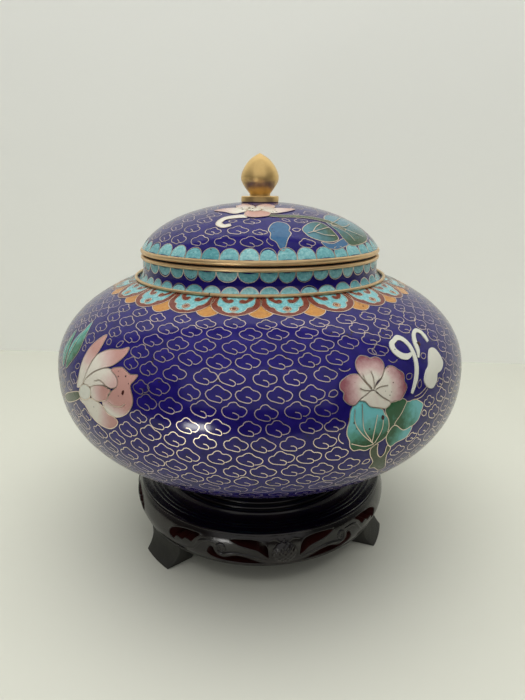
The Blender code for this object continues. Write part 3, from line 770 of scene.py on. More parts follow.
# %% Cells of the right spray
MALLOW = {
    "petals": [
        ([(0.0, 0.0), (-2.6, 2.9), (-4.7, 6.3), (-7.4, 6.9), (-10.1, 6.1), (-12.6, 4.5), (-13.2, 2.3),
          (-12.1, 0.7), (-12.6, -1.4), (-10.9, -3.4), (-8.5, -4.1), (-6.3, -2.6), (-3.5, -1.1)],
         ("ring", 0.0, 0.0, 3.5, 13.5)),
        ([(0.0, 0.0), (-2.6, 3.2), (-4.2, 6.4), (-4.9, 8.9), (-4.1, 11.5), (-1.6, 13.4), (1.1, 12.7),
          (2.3, 11.9), (5.1, 11.9), (7.0, 10.3), (7.3, 8.2), (6.0, 5.7), (4.5, 4.0), (1.9, 2.6)],
         ("ring", 0.0, 0.0, 4.5, 14.0)),
        ([(0.0, 0.0), (4.4, 3.6), (6.7, 6.3), (9.1, 7.6), (11.5, 7.0), (13.2, 5.5), (15.5, 3.5),
          (15.1, 0.8), (15.9, -1.6), (14.4, -3.6), (12.0, -5.6), (9.4, -5.4), (6.9, -5.6), (3.4, -3.0)],
         ("ring", 0.0, 0.0, 6.5, 16.5)),
        ([(0.0, 0.0), (3.4, -3.0), (6.9, -5.6), (4.6, -7.3), (2.3, -6.7), (0.3, -6.2), (-2.3, -5.5),
          (-4.2, -3.4), (-6.3, -2.6), (-3.5, -1.1)], 0.12),
    ],
    "hearts": [
        (band([(16.6, 16.6), (19.6, 17.7), (22.4, 16.0), (24.2, 12.5), (24.4, 8.5), (23.7, 4.5),
               (21.5, 0.0), (18.2, -4.6)], [1.8, 2.3, 2.2, 2.1, 2.2, 2.1, 2.0, 1.0]), 0.2),
        (band([(17.6, 17.2), (15.0, 15.6), (14.9, 12.8), (17.2, 10.3), (20.2, 9.3), (23.4, 9.9)],
              [1.6, 2.5, 2.7, 2.7, 2.4, 1.2]), 0.2),
        (band([(26.4, 7.6), (27.8, 10.4), (28.2, 13.4), (29.8, 16.6), (32.6, 18.2), (35.4, 17.0),
               (36.8, 14.4), (37.2, 12.0)], [0.8, 2.2, 2.6, 2.0, 1.7, 2.0, 2.4, 1.6]), 0.2),
        ([(35.8, 9.1), (39.2, 8.7), (41.8, 5.9), (43.0, 1.8), (39.9, -0.6), (36.4, -1.1), (35.0, -3.6),
          (31.5, -5.6), (27.9, -4.3), (26.4, -1.5), (28.5, 1.6), (31.2, 3.4), (32.9, 6.3)], 0.35),
    ],
    "leaves": [
        ([(-5.9, -2.6), (-3.6, -3.4), (-2.3, -5.4), (0.3, -6.4), (3.2, -7.5), (4.2, -9.5), (6.1, -12.0),
          (6.5, -15.4), (6.1, -18.3), (4.0, -20.0), (1.7, -20.8), (-1.2, -22.3), (-3.3, -22.9),
          (-5.8, -22.0), (-8.3, -21.9), (-10.0, -20.0), (-10.5, -17.4), (-11.7, -14.7), (-11.6, -12.0),
          (-10.9, -9.7), (-10.3, -6.0), (-8.5, -3.7)],
         ("line", -3.0, -9.0, -1.0, -20.5)),
        ([(4.4, -8.1), (6.9, -5.9), (9.9, -5.8), (13.1, -5.4), (15.2, -7.3), (12.4, -11.0), (9.2, -15.0),
          (6.3, -17.2), (6.5, -15.0), (6.0, -12.0)], 0.92),
        ([(15.2, -7.3), (16.8, -7.3), (19.8, -7.1), (22.9, -8.7), (25.0, -10.5), (23.9, -13.2),
          (22.5, -16.2), (19.0, -17.9), (14.2, -18.3), (9.2, -15.0),
          (12.4, -11.0)], ("line", 23.0, -10.5, 10.0, -15.5)),
        ([(9.2, -15.0), (14.2, -18.3), (19.0, -17.9), (18.0, -20.7), (16.0, -22.4), (11.7, -23.0),
          (8.8, -24.1), (6.4, -21.6), (5.8, -18.4)], ("line", 16.0, -21.0, 7.0, -17.5)),
    ],
    "stems": [
        ([(-0.9, -22.6), (-0.4, -25.9), (1.8, -29.8), (1.2, -33.1), (4.2, -34.2), (8.0, -37.6),
          (10.6, -36.6), (9.4, -33.2), (8.0, -28.2), (9.0, -24.9), (6.8, -23.2), (6.5, -26.6), (5.1, -28.2),
          (3.2, -26.4), (2.2, -23.2), (1.9, -21.0)], 0.5),
    ],
    "holes": [[(16.8, 15.4), (19.4, 16.4), (22.0, 14.6), (22.8, 11.4), (20.0, 10.6), (17.4, 12.0)],
              [(17.6, -4.4), (24.0, -4.2), (28.6, -3.0), (27.0, -6.4), (22.0, -7.8), (18.0, -6.4)],
              [(29.6, 13.4), (31.0, 16.0), (34.4, 15.6), (35.4, 12.4), (32.0, 11.0)]],
    "veins": [[(-0.2, -20.4), (-5.5, -15.5), (-8.8, -10.4), (-8.7, -5.6)],
              [(-1.4, -19.0), (-5.2, -13.0), (-5.7, -4.0)],
              [(-1.0, -19.6), (-0.4, -14.5), (0.6, -9.0)], [(0.2, -20.2), (3.0, -15.0), (3.3, -9.8)],
              [(-0.2, -20.6), (-4.3, -20.6), (-9.8, -18.5)], [(-0.6, 0.8), (-2.6, 3.8), (-3.0, 6.4)],
              [(0.3, 0.8), (0.9, 4.0), (0.6, 7.0)], [(-0.8, 0.1), (-3.2, 0.4), (-5.6, 1.5)],
              [(0.8, 0.2), (3.4, 0.8), (6.6, 0.7)], [(0.6, -0.6), (3.4, -3.0), (6.2, -4.8)],
              [(27.4, -3.9), (23.0, -5.6), (19.4, -6.0)], [(27.9, -4.9), (23.6, -7.0), (18.6, -7.2)]],
    "spots": [(3.2, -10.6), (30.4, 12.6)],
}
DRAWN_KINDS = ("leaves", "stems", "petals", "hearts")
print("cells in the sprays:", [sum(len(spray.get(kind, [])) for kind in DRAWN_KINDS)
                               for spray in (LILY, MALLOW)])

# %% [markdown]
# ## Colours of the flowers
# Petals fade from cream to a dusty pink, leaves from turquoise to bottle green. The fade is never even:
# the clouding shifts it, as two wet powders run into each other.

# %% Flower enamels
petal_pink = enamel("petal_enamel", [(0.15, (0.62, 0.59, 0.50)), (0.5, (0.54, 0.39, 0.35)),
                                     (0.85, (0.435, 0.24, 0.205))], 0.16, 420.0)
petal_rose = enamel("mallow_enamel", [(0.1, (0.60, 0.57, 0.48)), (0.45, (0.48, 0.33, 0.31)),
                                      (0.85, (0.22, 0.075, 0.09))], 0.24, 420.0)
heart_white = enamel("white_enamel", [(0.1, (0.58, 0.60, 0.50)), (0.7, (0.66, 0.62, 0.56))], 0.3, 420.0)
leaf_green = enamel("leaf_enamel", [(0.1, (0.15, 0.46, 0.47)), (0.5, (0.07, 0.26, 0.19)),
                                    (0.85, (0.022, 0.09, 0.035))], 0.42, 330.0)
stem_green = enamel("stem_enamel", [(0.2, (0.035, 0.055, 0.022)), (0.8, (0.07, 0.10, 0.05))], 0.5, 500.0)
leaf_blue = enamel("blue_leaf_enamel", [(0.1, (0.025, 0.085, 0.19)), (0.8, (0.06, 0.16, 0.27))], 0.5, 500.0)
lid_leaf = enamel("lid_leaf_enamel", [(0.1, (0.08, 0.20, 0.25)), (0.5, (0.045, 0.13, 0.14)),
                                      (0.9, (0.03, 0.07, 0.028))], 0.5, 600.0)
red_brown = enamel("red_brown_enamel", [(0.2, (0.10, 0.022, 0.014)), (0.8, (0.20, 0.05, 0.032))], 0.6, 700.0)
ochre = enamel("ochre_enamel", [(0.2, (0.34, 0.13, 0.025)), (0.8, (0.52, 0.26, 0.06))], 0.6, 700.0)
dark_spot = enamel("dark_spot_enamel", [(0.2, (0.03, 0.01, 0.01)), (0.8, (0.06, 0.015, 0.01))], 0.4)

# %% [markdown]
# ## Laying the sprays
# A cell's place in the list decides how high it lies: each lies a few hundredths of a millimetre over the
# one before, which is too little to see but keeps the renderer from mixing them up. A wire follows every
# outline.

# %% Lay the flowers on the body
SPRAYS = [(spray, angle + turn, along) for turn in (0.0, 180.0)
          for spray, angle, along in ((LILY, -43.6, 55.6), (MALLOW, 25.0, 48.2))]
SPOT_WIDTH, SPOT_HEIGHT = 0.55, 0.9
LAYER = 0.03
body_wires, blocked = [], []
drawn = {"petals_lily": [], "petals_mallow": [], "hearts": [], "leaves": [], "stems": [], "spots": []}
for spray, angle, along in SPRAYS:
    order = 0
    for kind in DRAWN_KINDS:
        for outline, tone in spray.get(kind, []):
            outline = np.asarray(outline, float)
            if len(outline) < 24:
                outline = curve(outline, 5)
            order += 1
            where = kind
            if kind == "petals":
                where = "petals_lily" if spray is LILY else "petals_mallow"
            drawn[where].append((outline, angle, along, order * LAYER, tone))
            if kind != "hearts" or spray is LILY:
                angles, alongs = belly.lay(outline, angle, along)
                body_wires.append((angles, alongs, CELL_RISE + order * LAYER, True))
            blocked.append((angle, along, outline))
    blocked += [(angle, along, curve(hole, 3)) for hole in spray.get("holes", [])]
    for vein in spray["veins"]:
        angles, alongs = belly.lay(curve(vein, 5, closed=False), angle, along)
        body_wires.append((angles, alongs, CELL_RISE + (order + 1) * LAYER, False))
    for x, y in spray["spots"]:
        turn = np.linspace(0, math.tau, 13)[:-1]
        ring = np.column_stack([x + SPOT_WIDTH * np.cos(turn), y + SPOT_HEIGHT * np.sin(turn)])
        drawn["spots"].append((ring, angle, along, (order + 2) * LAYER, 0.5))
FILLS = {"petals_lily": petal_pink, "petals_mallow": petal_rose, "hearts": heart_white, "leaves": leaf_green,
         "stems": stem_green, "spots": dark_spot}
for kind, material in FILLS.items():
    piece = cells(f"body_{kind}", drawn[kind], belly)
    hand_over(piece, material, "enamel")

# %% [markdown]
# ## The collar of lappets
# Round the shoulder runs a collar of twenty-one cloud-headed lappets: a red-brown band round a turquoise
# field, with two commas and an ochre bead, and an ochre lobe where two of them meet.

# %% Lay the collar
LAPPETS, LAPPET_START = 21, -8.0
BAND = [(-8.4, 1.4), (-9.6, -2.4), (-9.9, -5.4), (-8.8, -8.6), (-6.2, -11.2), (-3.0, -12.7), (0.0, -13.2),
        (3.0, -12.7), (6.2, -11.2), (8.8, -8.6), (9.9, -5.4), (9.6, -2.4), (8.4, 1.4)]
FIELD = [(-6.8, 1.4), (-7.2, -1.8), (-7.4, -4.6), (-6.6, -7.0), (-5.0, -7.8), (-4.2, -9.8), (-2.0, -11.2),
         (0.0, -10.9), (2.0, -11.2), (4.2, -9.8), (5.0, -7.8), (6.6, -7.0), (7.4, -4.6), (7.2, -1.8),
         (6.8, 1.4)]
COMMA = [(-6.4, -1.2), (-5.2, -3.4), (-3.6, -4.8), (-1.7, -4.6), (-1.2, -3.0), (-2.2, -2.0), (-3.4, -2.6),
         (-4.2, -1.4), (-4.6, 0.4)]
BEAD = [(-1.15, -8.7), (0.0, -7.6), (1.15, -8.7), (0.0, -9.8)]
BEAD_RING = [(-1.8, -8.7), (0.0, -7.0), (1.8, -8.7), (0.0, -10.4)]
LOBE = [(-3.4, -6.0), (-5.0, -8.8), (-4.7, -11.3), (-2.9, -13.2), (0.0, -14.2), (2.9, -13.2), (4.7, -11.3),
        (5.0, -8.8), (3.4, -6.0)]
collar = {"ochre": [], "red": [], "field": [], "marks": []}
for k in range(LAPPETS):
    angle = LAPPET_START + 360 / LAPPETS * k + chance.gauss(0, 0.35)
    wide = 1 + chance.gauss(0, 0.025)
    low = chance.gauss(0, 0.25)
    for kind, shape, shift, mirror in (("ochre", LOBE, 180 / LAPPETS, 1), ("red", BAND, 0, 1),
                                       ("field", FIELD, 0, 1), ("marks", COMMA, 0, 1),
                                       ("marks", COMMA, 0, -1), ("marks", BEAD_RING, 0, 1),
                                       ("ochre", BEAD, 0, 1)):
        outline = curve(np.array(shape) * (wide * mirror, 1) + (0, low), 4)
        if kind in ("red", "field"):
            outline = outline[outline[:, 1] < 0.9]
        if mirror < 0:
            outline = outline[::-1]
        lift = {"ochre": 1, "red": 2, "field": 3, "marks": 4}[kind] + (3 if shape is BEAD else 0)
        collar[kind].append((outline, angle + shift, 0.0, lift * LAYER, 0.5))
        if shape is LOBE or shape is BAND:
            blocked.append((angle + shift, 0.0, outline))
        path = belly.lay(outline, angle + shift, 0.0)
        keep = path[1] > 0.2
        if keep.all():
            body_wires.append((*path, CELL_RISE + lift * LAYER, True))
        else:
            start = int(np.argmax(keep & ~np.roll(keep, 1)))
            turned_path = [np.roll(p, -start) for p in path]
            count = int(keep.sum())
            body_wires.append((turned_path[0][:count], turned_path[1][:count], CELL_RISE + lift * LAYER,
                               False))
for kind, material in (("ochre", ochre), ("red", red_brown), ("field", turquoise), ("marks", red_brown)):
    hand_over(cells(f"collar_{kind}", collar[kind], belly), material, "enamel")

# %% [markdown]
# ## Filling the ground with clouds
# The rows are laid out from the collar down to the foot. Where a cloud would touch a flower, a smaller
# one is tried a little to the side, then a drop, then an open arc, just as the maker had to do.


# %% Place the clouds on the body
def is_free(angles, alongs, skin, margin=0.7):
    """True where a wire keeps clear of every flower cell."""
    for angle, along, outline in blocked:
        if skin.plate:
            centre = math.radians(angle)
            east, south = alongs * np.sin(angles), alongs * np.cos(angles)
            side = east * math.cos(centre) - south * math.sin(centre)
            across = side * skin.radius(along) / max(along, 1.0)
            flat = np.column_stack([across, along - east * math.sin(centre) - south * math.cos(centre)])
        else:
            turn = (angles - math.radians(angle) + math.pi) % math.tau - math.pi
            flat = np.column_stack([turn * skin.radius(alongs), along - alongs])
        if (flat.min(axis=0) > outline.max(axis=0) + margin).any() or (
                flat.max(axis=0) < outline.min(axis=0) - margin).any():
            continue
        if (np.hypot(*(flat[:, None, :] - outline[None, :, :]).transpose(2, 0, 1)).min() < margin
                or inside(flat, outline).any()):
            return False
    return True


def fit_wire(skin, angle, along):
    """The best wire for one place in the ground, or None."""
    tries = [(CLOUD, 1.0, 0, 0, 0)]
    tries += [(CLOUD, size, x, y, 0) for size in (0.86, 0.68)
              for x in (0, -1.4, 1.4, -2.6, 2.6) for y in (0, -1.2, 1.2)]
    tries += [(DROP, 1.0, x, y, turn) for x, y, turn in ((0, 0, 20), (-2.8, 0, 160), (2.8, 0, 10),
                                                         (0, 1.8, 60), (-3.6, -1.0, 200), (3.6, 1.0, -30))]
    tries += [(ARC, 1.0, x, y, turn) for x, y, turn in ((-4.2, 0, 0), (4.2, 0, 170), (-3.0, 1.5, 60))]
    for shape, size, x, y, turn in tries:
        path = shaken(shape, size, turn) + (x, y)
        path = spaced(curve(path, 3, closed=False), CLOUD_STEPS if shape is CLOUD else 12)
        angles, alongs = skin.lay(path, angle, along)
        if is_free(angles, alongs, skin):
            return angles, alongs, 0.0, False
    return None


ROW_START, ROW_STEP, ROW_END, CLOUD_PITCH = 16.6, 5.97, 122.0, 10.85
high_clouds, low_clouds = [], []
row_count = int((ROW_END - ROW_START) / ROW_STEP)
for row in range(row_count):
    along = ROW_START + ROW_STEP * row
    around = float(belly.radius(along)) * math.tau
    count = round(around / CLOUD_PITCH)
    first = math.degrees((1.8 if row % 2 == 0 else -3.6) / float(belly.radius(along)))
    for k in range(count):
        angle = first + 360 / count * k + chance.gauss(0, 0.25)
        made = fit_wire(belly, angle, along + chance.gauss(0, 0.25))
        if made is not None:
            (high_clouds if row < 8 else low_clouds).append(made)
hand_over(wires("body_clouds_upper", high_clouds, belly), wire_brass, "brass")
hand_over(wires("body_clouds_lower", low_clouds, belly), wire_brass, "brass")
print("clouds on the body:", len(high_clouds) + len(low_clouds))
hand_over(wires("body_flower_wires", body_wires, belly), wire_brass, "brass")

# %% [markdown]
# ## Scallops on the neck and lid
# Rows of turquoise scallops hang from the mouth ring, stand on the strip below and stand on the lid's
# edge. They are bent by eye, so their widths wander.


# %% Lay the scallops
def scallop_row(skin, along, way, count, height, circle):
    """Cells and wires for one row. way is 1 for standing scallops and -1 for hanging ones."""
    shares = np.array([1 + chance.gauss(0, 0.09) for _ in range(count)])
    edges = np.r_[0, np.cumsum(shares)] / shares.sum() * 360
    fills, lines = [], []
    for start, end in zip(edges, edges[1:]):
        half = math.radians(end - start) * circle / 2 - 0.12
        tall = height * (1 + chance.gauss(0, 0.05))
        turn = np.linspace(0, math.pi, 13)
        arch = np.column_stack([half * np.cos(turn), 0.14 * tall + 0.86 * tall * np.sin(turn)])
        arch = np.vstack([[half * 0.98, 0.0], arch, [-half * 0.98, 0.0]]) * (1, way)
        if way < 0:
            arch = arch[::-1]
        angle = (start + end) / 2
        short = chance.choice((0.0, 0.0, 0.08, 0.15))
        fills.append((arch * (1 - short / 3, 1 - short), angle, along, LAYER, 0.5 + chance.gauss(0, 0.15)))
        lines.append((*skin.lay(arch, angle, along), CELL_RISE + LAYER, False))
    return fills, lines


upper_row, upper_lines = scallop_row(neck, 0.0, -1, 45, 4.15, NECK_RADIUS)
lower_row, lower_lines = scallop_row(neck, neck.length - 1.0, 1, 45, 4.0, 58.6)
hand_over(cells("neck_scallops", upper_row + lower_row, neck), turquoise, "enamel")
hand_over(wires("neck_scallop_wires", upper_lines + lower_lines, neck), wire_brass, "brass")
lid_row, lid_lines = scallop_row(crown, crown.length - 0.1, 1, 44, 5.4, LID_EDGE)
hand_over(cells("lid_scallops", lid_row, crown), turquoise, "enamel")

# %% [markdown]
# ## The lid's branch
# A pale flower lies beside the bud, and its green branch sweeps round with a blue leaf, a veined teal
# leaf and a large bottle-green one. The other half of the lid gets a second branch.

# %% Cells of the lid
LID_PARTS = [
    ("leaf_blue", 12.0, 50.3, [(-1.1, 9.4), (2.3, 8.4), (3.5, 5.2), (2.6, 2.6), (3.0, 0.4), (0.9, -3.2),
                               (-1.6, -8.8), (-3.4, -7.4), (-4.2, -4.4), (-6.2, -2.0), (-5.4, 1.0),
                               (-5.9, 3.4), (-4.0, 7.2)], 0.4),
    ("leaf_blue", 38.0, 57.3, [(-8.0, 2.4), (-2.7, 0.6), (5.5, 3.0), (6.3, -0.2), (-0.3, -2.2),
                               (-4.2, -2.2), (-7.4, -0.6)], 0.4),
    ("leaf_teal", 33.0, 50.3, [(-7.7, 4.2), (-2.0, 7.6), (3.1, 8.2), (5.9, 5.2), (6.6, 0.6), (6.4, -3.9),
                               (1.6, -5.6), (-3.4, -4.6), (-7.2, -2.0),
                               (-8.3, 1.0)], ("line", -8.0, 0.0, 7.0, 0.0)),
    ("leaf_green", 55.0, 49.3, [(-8.3, 7.0), (-2.0, 12.0), (7.0, 13.0), (14.5, 9.0), (17.5, 2.5),
                                (13.3, -4.5), (7.0, -8.0), (-1.4, -9.4), (-9.2, -8.6), (-10.6, -4.7),
                                (-9.2, 0.4)],
     ("line", 0.0, 8.0, -1.0, -9.0)),
    ("stem", 25.0, 37.3, band([(-14.0, 7.4), (-7.5, 3.0), (0.5, 1.4), (8.0, 0.0), (15.5, -2.5), (22.0, -7.0)],
                              [1.6, 2.4, 2.6, 2.8, 3.4, 2.4]), 0.6),
    ("petal", -18.0, 39.3, band([(5.6, 4.4), (0.6, 3.2), (-3.6, 1.0), (-4.6, -3.2), (-1.6, -5.6),
                                 (1.2, -4.4)],
                                [3.4, 3.4, 3.0, 2.6, 2.4, 2.2]), 0.05),
    ("petal", -5.0, 29.3, [(-3.0, 1.0), (-8.0, -2.4), (-13.0, 1.6), (-18.5, 6.4), (-12.0, 7.6), (-6.0, 5.6)],
     ("line", -4.0, 3.0, -22.0, 6.0)),
    ("petal", -5.0, 29.3, [(-2.0, 2.4), (-7.6, 6.0), (-8.6, 10.4), (-5.4, 14.8), (-1.6, 10.2), (0.4, 5.0)],
     ("line", -2.0, 4.0, -6.0, 16.0)),
    ("petal", -5.0, 29.3, [(1.0, 3.4), (0.6, 9.0), (4.4, 14.6), (8.4, 10.4), (7.0, 5.0)],
     ("line", 2.0, 4.0, 6.0, 16.0)),
    ("petal", -5.0, 29.3, [(3.0, 1.6), (7.6, 5.6), (13.0, 8.0), (17.6, 8.8), (14.4, 3.0), (8.6, -1.8)],
     ("line", 4.0, 2.0, 22.0, 8.0)),
    ("petal", -5.0, 29.3, [(-3.0, 0.6), (-3.2, -5.4), (1.0, -7.4), (6.6, -5.2), (7.0, -1.4), (2.6, 0.8)],
     0.75),
    ("petal", -5.0, 29.3, [(-3.0, 1.6), (-0.2, -0.6), (3.0, 1.4), (2.0, 4.0), (-1.6, 4.2)], 0.05),
]
LID_VEINS = [(33.0, 50.3, [(-7.2, 0.6), (-1.0, 1.6), (5.6, 3.4)]),
             (33.0, 50.3, [(-4.0, 1.2), (0.0, -1.6), (5.2, -2.4)]),
             (33.0, 50.3, [(-4.0, 1.4), (-0.6, 4.2), (3.0, 6.2)]),
             (55.0, 49.3, [(-8.2, 4.6), (-1.0, 1.4), (8.0, 3.4)]),
             (55.0, 49.3, [(-8.6, 4.0), (-5.0, -2.0), (-4.6, -7.4)]),
             (55.0, 49.3, [(-8.4, 4.4), (0.0, -2.6), (6.0, -5.8)]),
             (55.0, 49.3, [(-8.0, 5.2), (0.0, 6.6), (9.0, 9.4)])]
LID_FILLS = {"leaf_blue": leaf_blue, "leaf_teal": lid_leaf, "leaf_green": lid_leaf, "stem": stem_green,
             "petal": petal_pink}
blocked = []
lid_wires = list(lid_lines)
lid_drawn = {kind: [] for kind in LID_FILLS}
for half_turn in (0.0, 180.0):
    for order, (kind, angle, along, shape, tone) in enumerate(LID_PARTS):
        outline = np.asarray(shape, float)
        if len(outline) < 24:
            outline = curve(outline, 5)
        lift = (order + 1) * LAYER
        lid_drawn[kind].append((outline, angle + half_turn, along, lift, tone))
        lid_wires.append((*crown.lay(outline, angle + half_turn, along), CELL_RISE + lift, True))
        blocked.append((angle + half_turn, along, outline))
    for angle, along, vein in LID_VEINS:
        path = curve(vein, 5, closed=False)
        lid_wires.append((*crown.lay(path, angle + half_turn, along), CELL_RISE + 14 * LAYER, False))
for kind, material in LID_FILLS.items():
    hand_over(cells(f"lid_{kind}", lid_drawn[kind], crown), material, "enamel")

# %% Place the clouds on the lid
lid_clouds = []
for row in range(7):
    along = crown.length - 8.9 - 7.2 * row
    count = round(float(crown.radius(along)) * math.tau / 11.2)
    for k in range(count):
        angle = (k + 0.5 * (row % 2) - 0.28) * 360 / count + chance.gauss(0, 0.4)
        made = fit_wire(crown, angle, along)
        if made is not None and made[1].min() > 10.0:
            lid_clouds.append(made)
hand_over(wires("lid_clouds", lid_clouds, crown), wire_brass, "brass")
hand_over(wires("lid_flower_wires", lid_wires, crown), wire_brass, "brass")
print("clouds on the lid:", len(lid_clouds))

# %% [markdown]
# ## Lacquered wood
# The stand is carved from one block and finished in many coats of dark lacquer. It reflects like glass,
# is almost black, and shows a red-brown where the carver cut into it. The feet are the same wood, left
# matt. One node group draws the fibres and the warm patches of all three.

# %% The wood figure group
figure = bpy.data.node_groups.new("wood figure", "ShaderNodeTree")
socket(figure, "Fibre Size", "NodeSocketFloat", "INPUT", 420.0)
socket(figure, "Warmth", "NodeSocketFloat", "OUTPUT")
socket(figure, "Patches", "NodeSocketFloat", "OUTPUT")
socket(figure, "Height", "NodeSocketFloat", "OUTPUT")
figure_in = figure.nodes.new("NodeGroupInput")
figure_out = figure.nodes.new("NodeGroupOutput")
figure_place = figure.nodes.new("ShaderNodeTexCoord").outputs["Object"]
stretch = figure.nodes.new("ShaderNodeMapping")
stretch.inputs["Scale"].default_value = (1.0, 0.25, 1.0)
figure.links.new(figure_place, stretch.inputs["Vector"])
fibres = noise(figure, stretch.outputs["Vector"], figure_in.outputs["Fibre Size"], 6.0, 0.7)
patches = noise(figure, figure_place, 45.0, 3.0)
warm_places = maths(figure, "SUBTRACT", patches, 0.35, True)
link_up(figure, (patches, figure_out.inputs["Patches"]),
        (maths(figure, "MULTIPLY", warm_places, maths(figure, "ADD", fibres, 0.4), True),
         figure_out.inputs["Warmth"]),
        (maths(figure, "ADD", fibres, maths(figure, "MULTIPLY", patches, 0.6)), figure_out.inputs["Height"]))
print("group made:", figure.name)


# %% Wood materials
def stand_wood(name, dark, warm, roughness, relief):
    """Dark wood, as glossy as its roughness says."""
    made = bpy.data.materials.new(name)
    made.use_nodes = True
    tree = made.node_tree
    shader = tree.nodes["Principled BSDF"]
    group = tree.nodes.new("ShaderNodeGroup")
    group.node_tree = figure
    mix = tree.nodes.new("ShaderNodeMix")
    mix.data_type = "RGBA"
    mix.inputs["A"].default_value = (*dark, 1.0)
    mix.inputs["B"].default_value = (*warm, 1.0)
    bump = tree.nodes.new("ShaderNodeBump")
    bump.inputs["Strength"].default_value = relief
    bump.inputs["Distance"].default_value = 0.0006
    rough = maths(tree, "ADD", maths(tree, "MULTIPLY", group.outputs["Patches"], 0.16), roughness - 0.08)
    link_up(tree, (group.outputs["Warmth"], mix.inputs["Factor"]),
            (group.outputs["Height"], bump.inputs["Height"]),
            (mix.outputs["Result"], shader.inputs["Base Color"]),
            (bump.outputs["Normal"], shader.inputs["Normal"]),
            (rough, shader.inputs["Roughness"]))
    return made


black_lacquer = stand_wood("black_lacquer", (0.002, 0.0015, 0.0015), (0.016, 0.004, 0.003), 0.19, 0.10)
cut_lacquer = stand_wood("red_brown_cut", (0.030, 0.006, 0.005), (0.085, 0.018, 0.014), 0.32, 0.25)
matt_wood = stand_wood("matt_dark_wood", (0.012, 0.012, 0.009), (0.032, 0.029, 0.022), 0.60, 0.6)
print("woods:", black_lacquer.name, cut_lacquer.name, matt_wood.name)

# %% [markdown]
# ## The turned stand
# The seat has three rounded ridges round the jar's foot. Outside them a flat ledge runs to a thin bead,
# and the apron bulges below it down to a second bead. It is turned first and pierced afterwards.

# %% Turn the stand
LEG_TOP, APRON = 13.5, 16.6
SEAT, PLATE, APRON_WALL = 34.9, 8.0, 7.3
APRON_TOP, APRON_BOTTOM, APRON_SWELL, APRON_MIDDLE = 65.4, 64.3, 2.65, 66.5
PANEL_TURN, PANEL_HALF = 9.6, 50.0
PANEL_TURNS = (0.0, 120.0, 240.0)
RECESS_RADIUS, RECESS_STEP = 41.6, 1.5
RIDGES, FIRST_RIDGE, RIDGE_STEP, RIDGE_DROP, RIDGE_HALF = 3, 44.45, 3.0, 0.9, 1.45
LEDGE, LEDGE_GROOVES = 30.3, (56.5, 58.5, 60.5)


def apron_radius(share):
    """Radius of the apron at a share of its height."""
    return APRON_BOTTOM + (APRON_TOP - APRON_BOTTOM) * share + APRON_SWELL * 4 * share * (1 - share)


section = [(0.0, SEAT), (RECESS_RADIUS, SEAT), (RECESS_RADIUS, SEAT + RECESS_STEP - 0.2),
           (RECESS_RADIUS + 0.2, SEAT + RECESS_STEP), (RECESS_RADIUS + 0.8, SEAT + RECESS_STEP - 0.05)]
for ridge in range(RIDGES):
    crest, top = FIRST_RIDGE + RIDGE_STEP * ridge, SEAT - RIDGE_DROP * ridge
    section += [(crest + RIDGE_HALF * math.sin(t), top - 1.0 + math.cos(t))
                for t in np.radians([-85, -60, -35, 0, 35, 60, 85])]
section += [(53.0, LEDGE + 0.9), (54.5, LEDGE + 0.3), (55.4, LEDGE)]
for ring in LEDGE_GROOVES:
    section += [(ring - 0.75, LEDGE + 0.02), (ring, LEDGE + 0.25), (ring + 0.75, LEDGE + 0.02)]
section += [(62.8, LEDGE - 0.05)]
section += [(64.55 + 0.85 * math.sin(t), 30.15 + 0.75 * math.cos(t))
            for t in np.radians([-80, -40, 0, 40, 80, 115])]
section += [(apron_radius(s), LEG_TOP + APRON * s) for s in np.linspace(0.93, 0.11, 12)]
section += [(64.35 + 0.75 * math.cos(t), 14.35 + 0.8 * math.sin(t))
            for t in np.radians([25, 0, -30, -60, -85])]
inside_wall = APRON_BOTTOM - APRON_WALL
section += [(inside_wall + 0.5, LEG_TOP), (inside_wall, LEG_TOP + 0.5), (inside_wall, SEAT - PLATE),
            (0.0, SEAT - PLATE)]
stand = turned("stand_carved", section, 120)

# %% [markdown]
# ## Piercing the apron
# Each of the three panels between the feet is cut right through: a comma beside the fruit, a hooked
# crescent round the scroll and a leaf-shaped hole by the foot, all mirrored. The cutters are prisms that
# reach through the wall, and a Boolean takes them away. Their own red-brown stays on the cut faces.

# %% Pierce the panels
HOLE_COMMA = [(0.12, 0.56), (0.13, 0.72), (0.17, 0.86), (0.27, 0.92), (0.43, 0.88), (0.36, 0.74),
              (0.27, 0.66), (0.20, 0.58), (0.15, 0.42), (0.12, 0.36)]
HOLE_CRESCENT = [(0.05, 0.11), (0.16, 0.18), (0.25, 0.34), (0.32, 0.44), (0.40, 0.44), (0.47, 0.34),
                 (0.53, 0.42), (0.56, 0.62), (0.60, 0.58), (0.62, 0.36), (0.57, 0.20), (0.46, 0.12),
                 (0.26, 0.09)]
HOLE_LEAF = [(0.66, 0.86), (0.74, 0.89), (0.84, 0.87), (0.93, 0.80), (0.985, 0.66), (0.985, 0.46),
             (0.93, 0.40), (0.90, 0.54), (0.84, 0.50), (0.81, 0.60), (0.75, 0.56), (0.71, 0.72)]
HOLES = (HOLE_COMMA, HOLE_CRESCENT, HOLE_LEAF)


def on_apron(along, share, out=0.0):
    """A point of the apron in metres: degrees from the panel's middle, share of the height, mm outwards."""
    angle = math.radians(PANEL_TURN + along)
    radius = apron_radius(share) + out
    return (radius * math.sin(angle) * MM, -radius * math.cos(angle) * MM, (LEG_TOP + APRON * share) * MM)


def hole_loops(turn):
    """Smooth outlines of every hole of one panel, in degrees and shares."""
    return [curve([(turn + side * PANEL_HALF * a, s) for a, s in hole], 4)
            for hole in HOLES for side in (1, -1)]


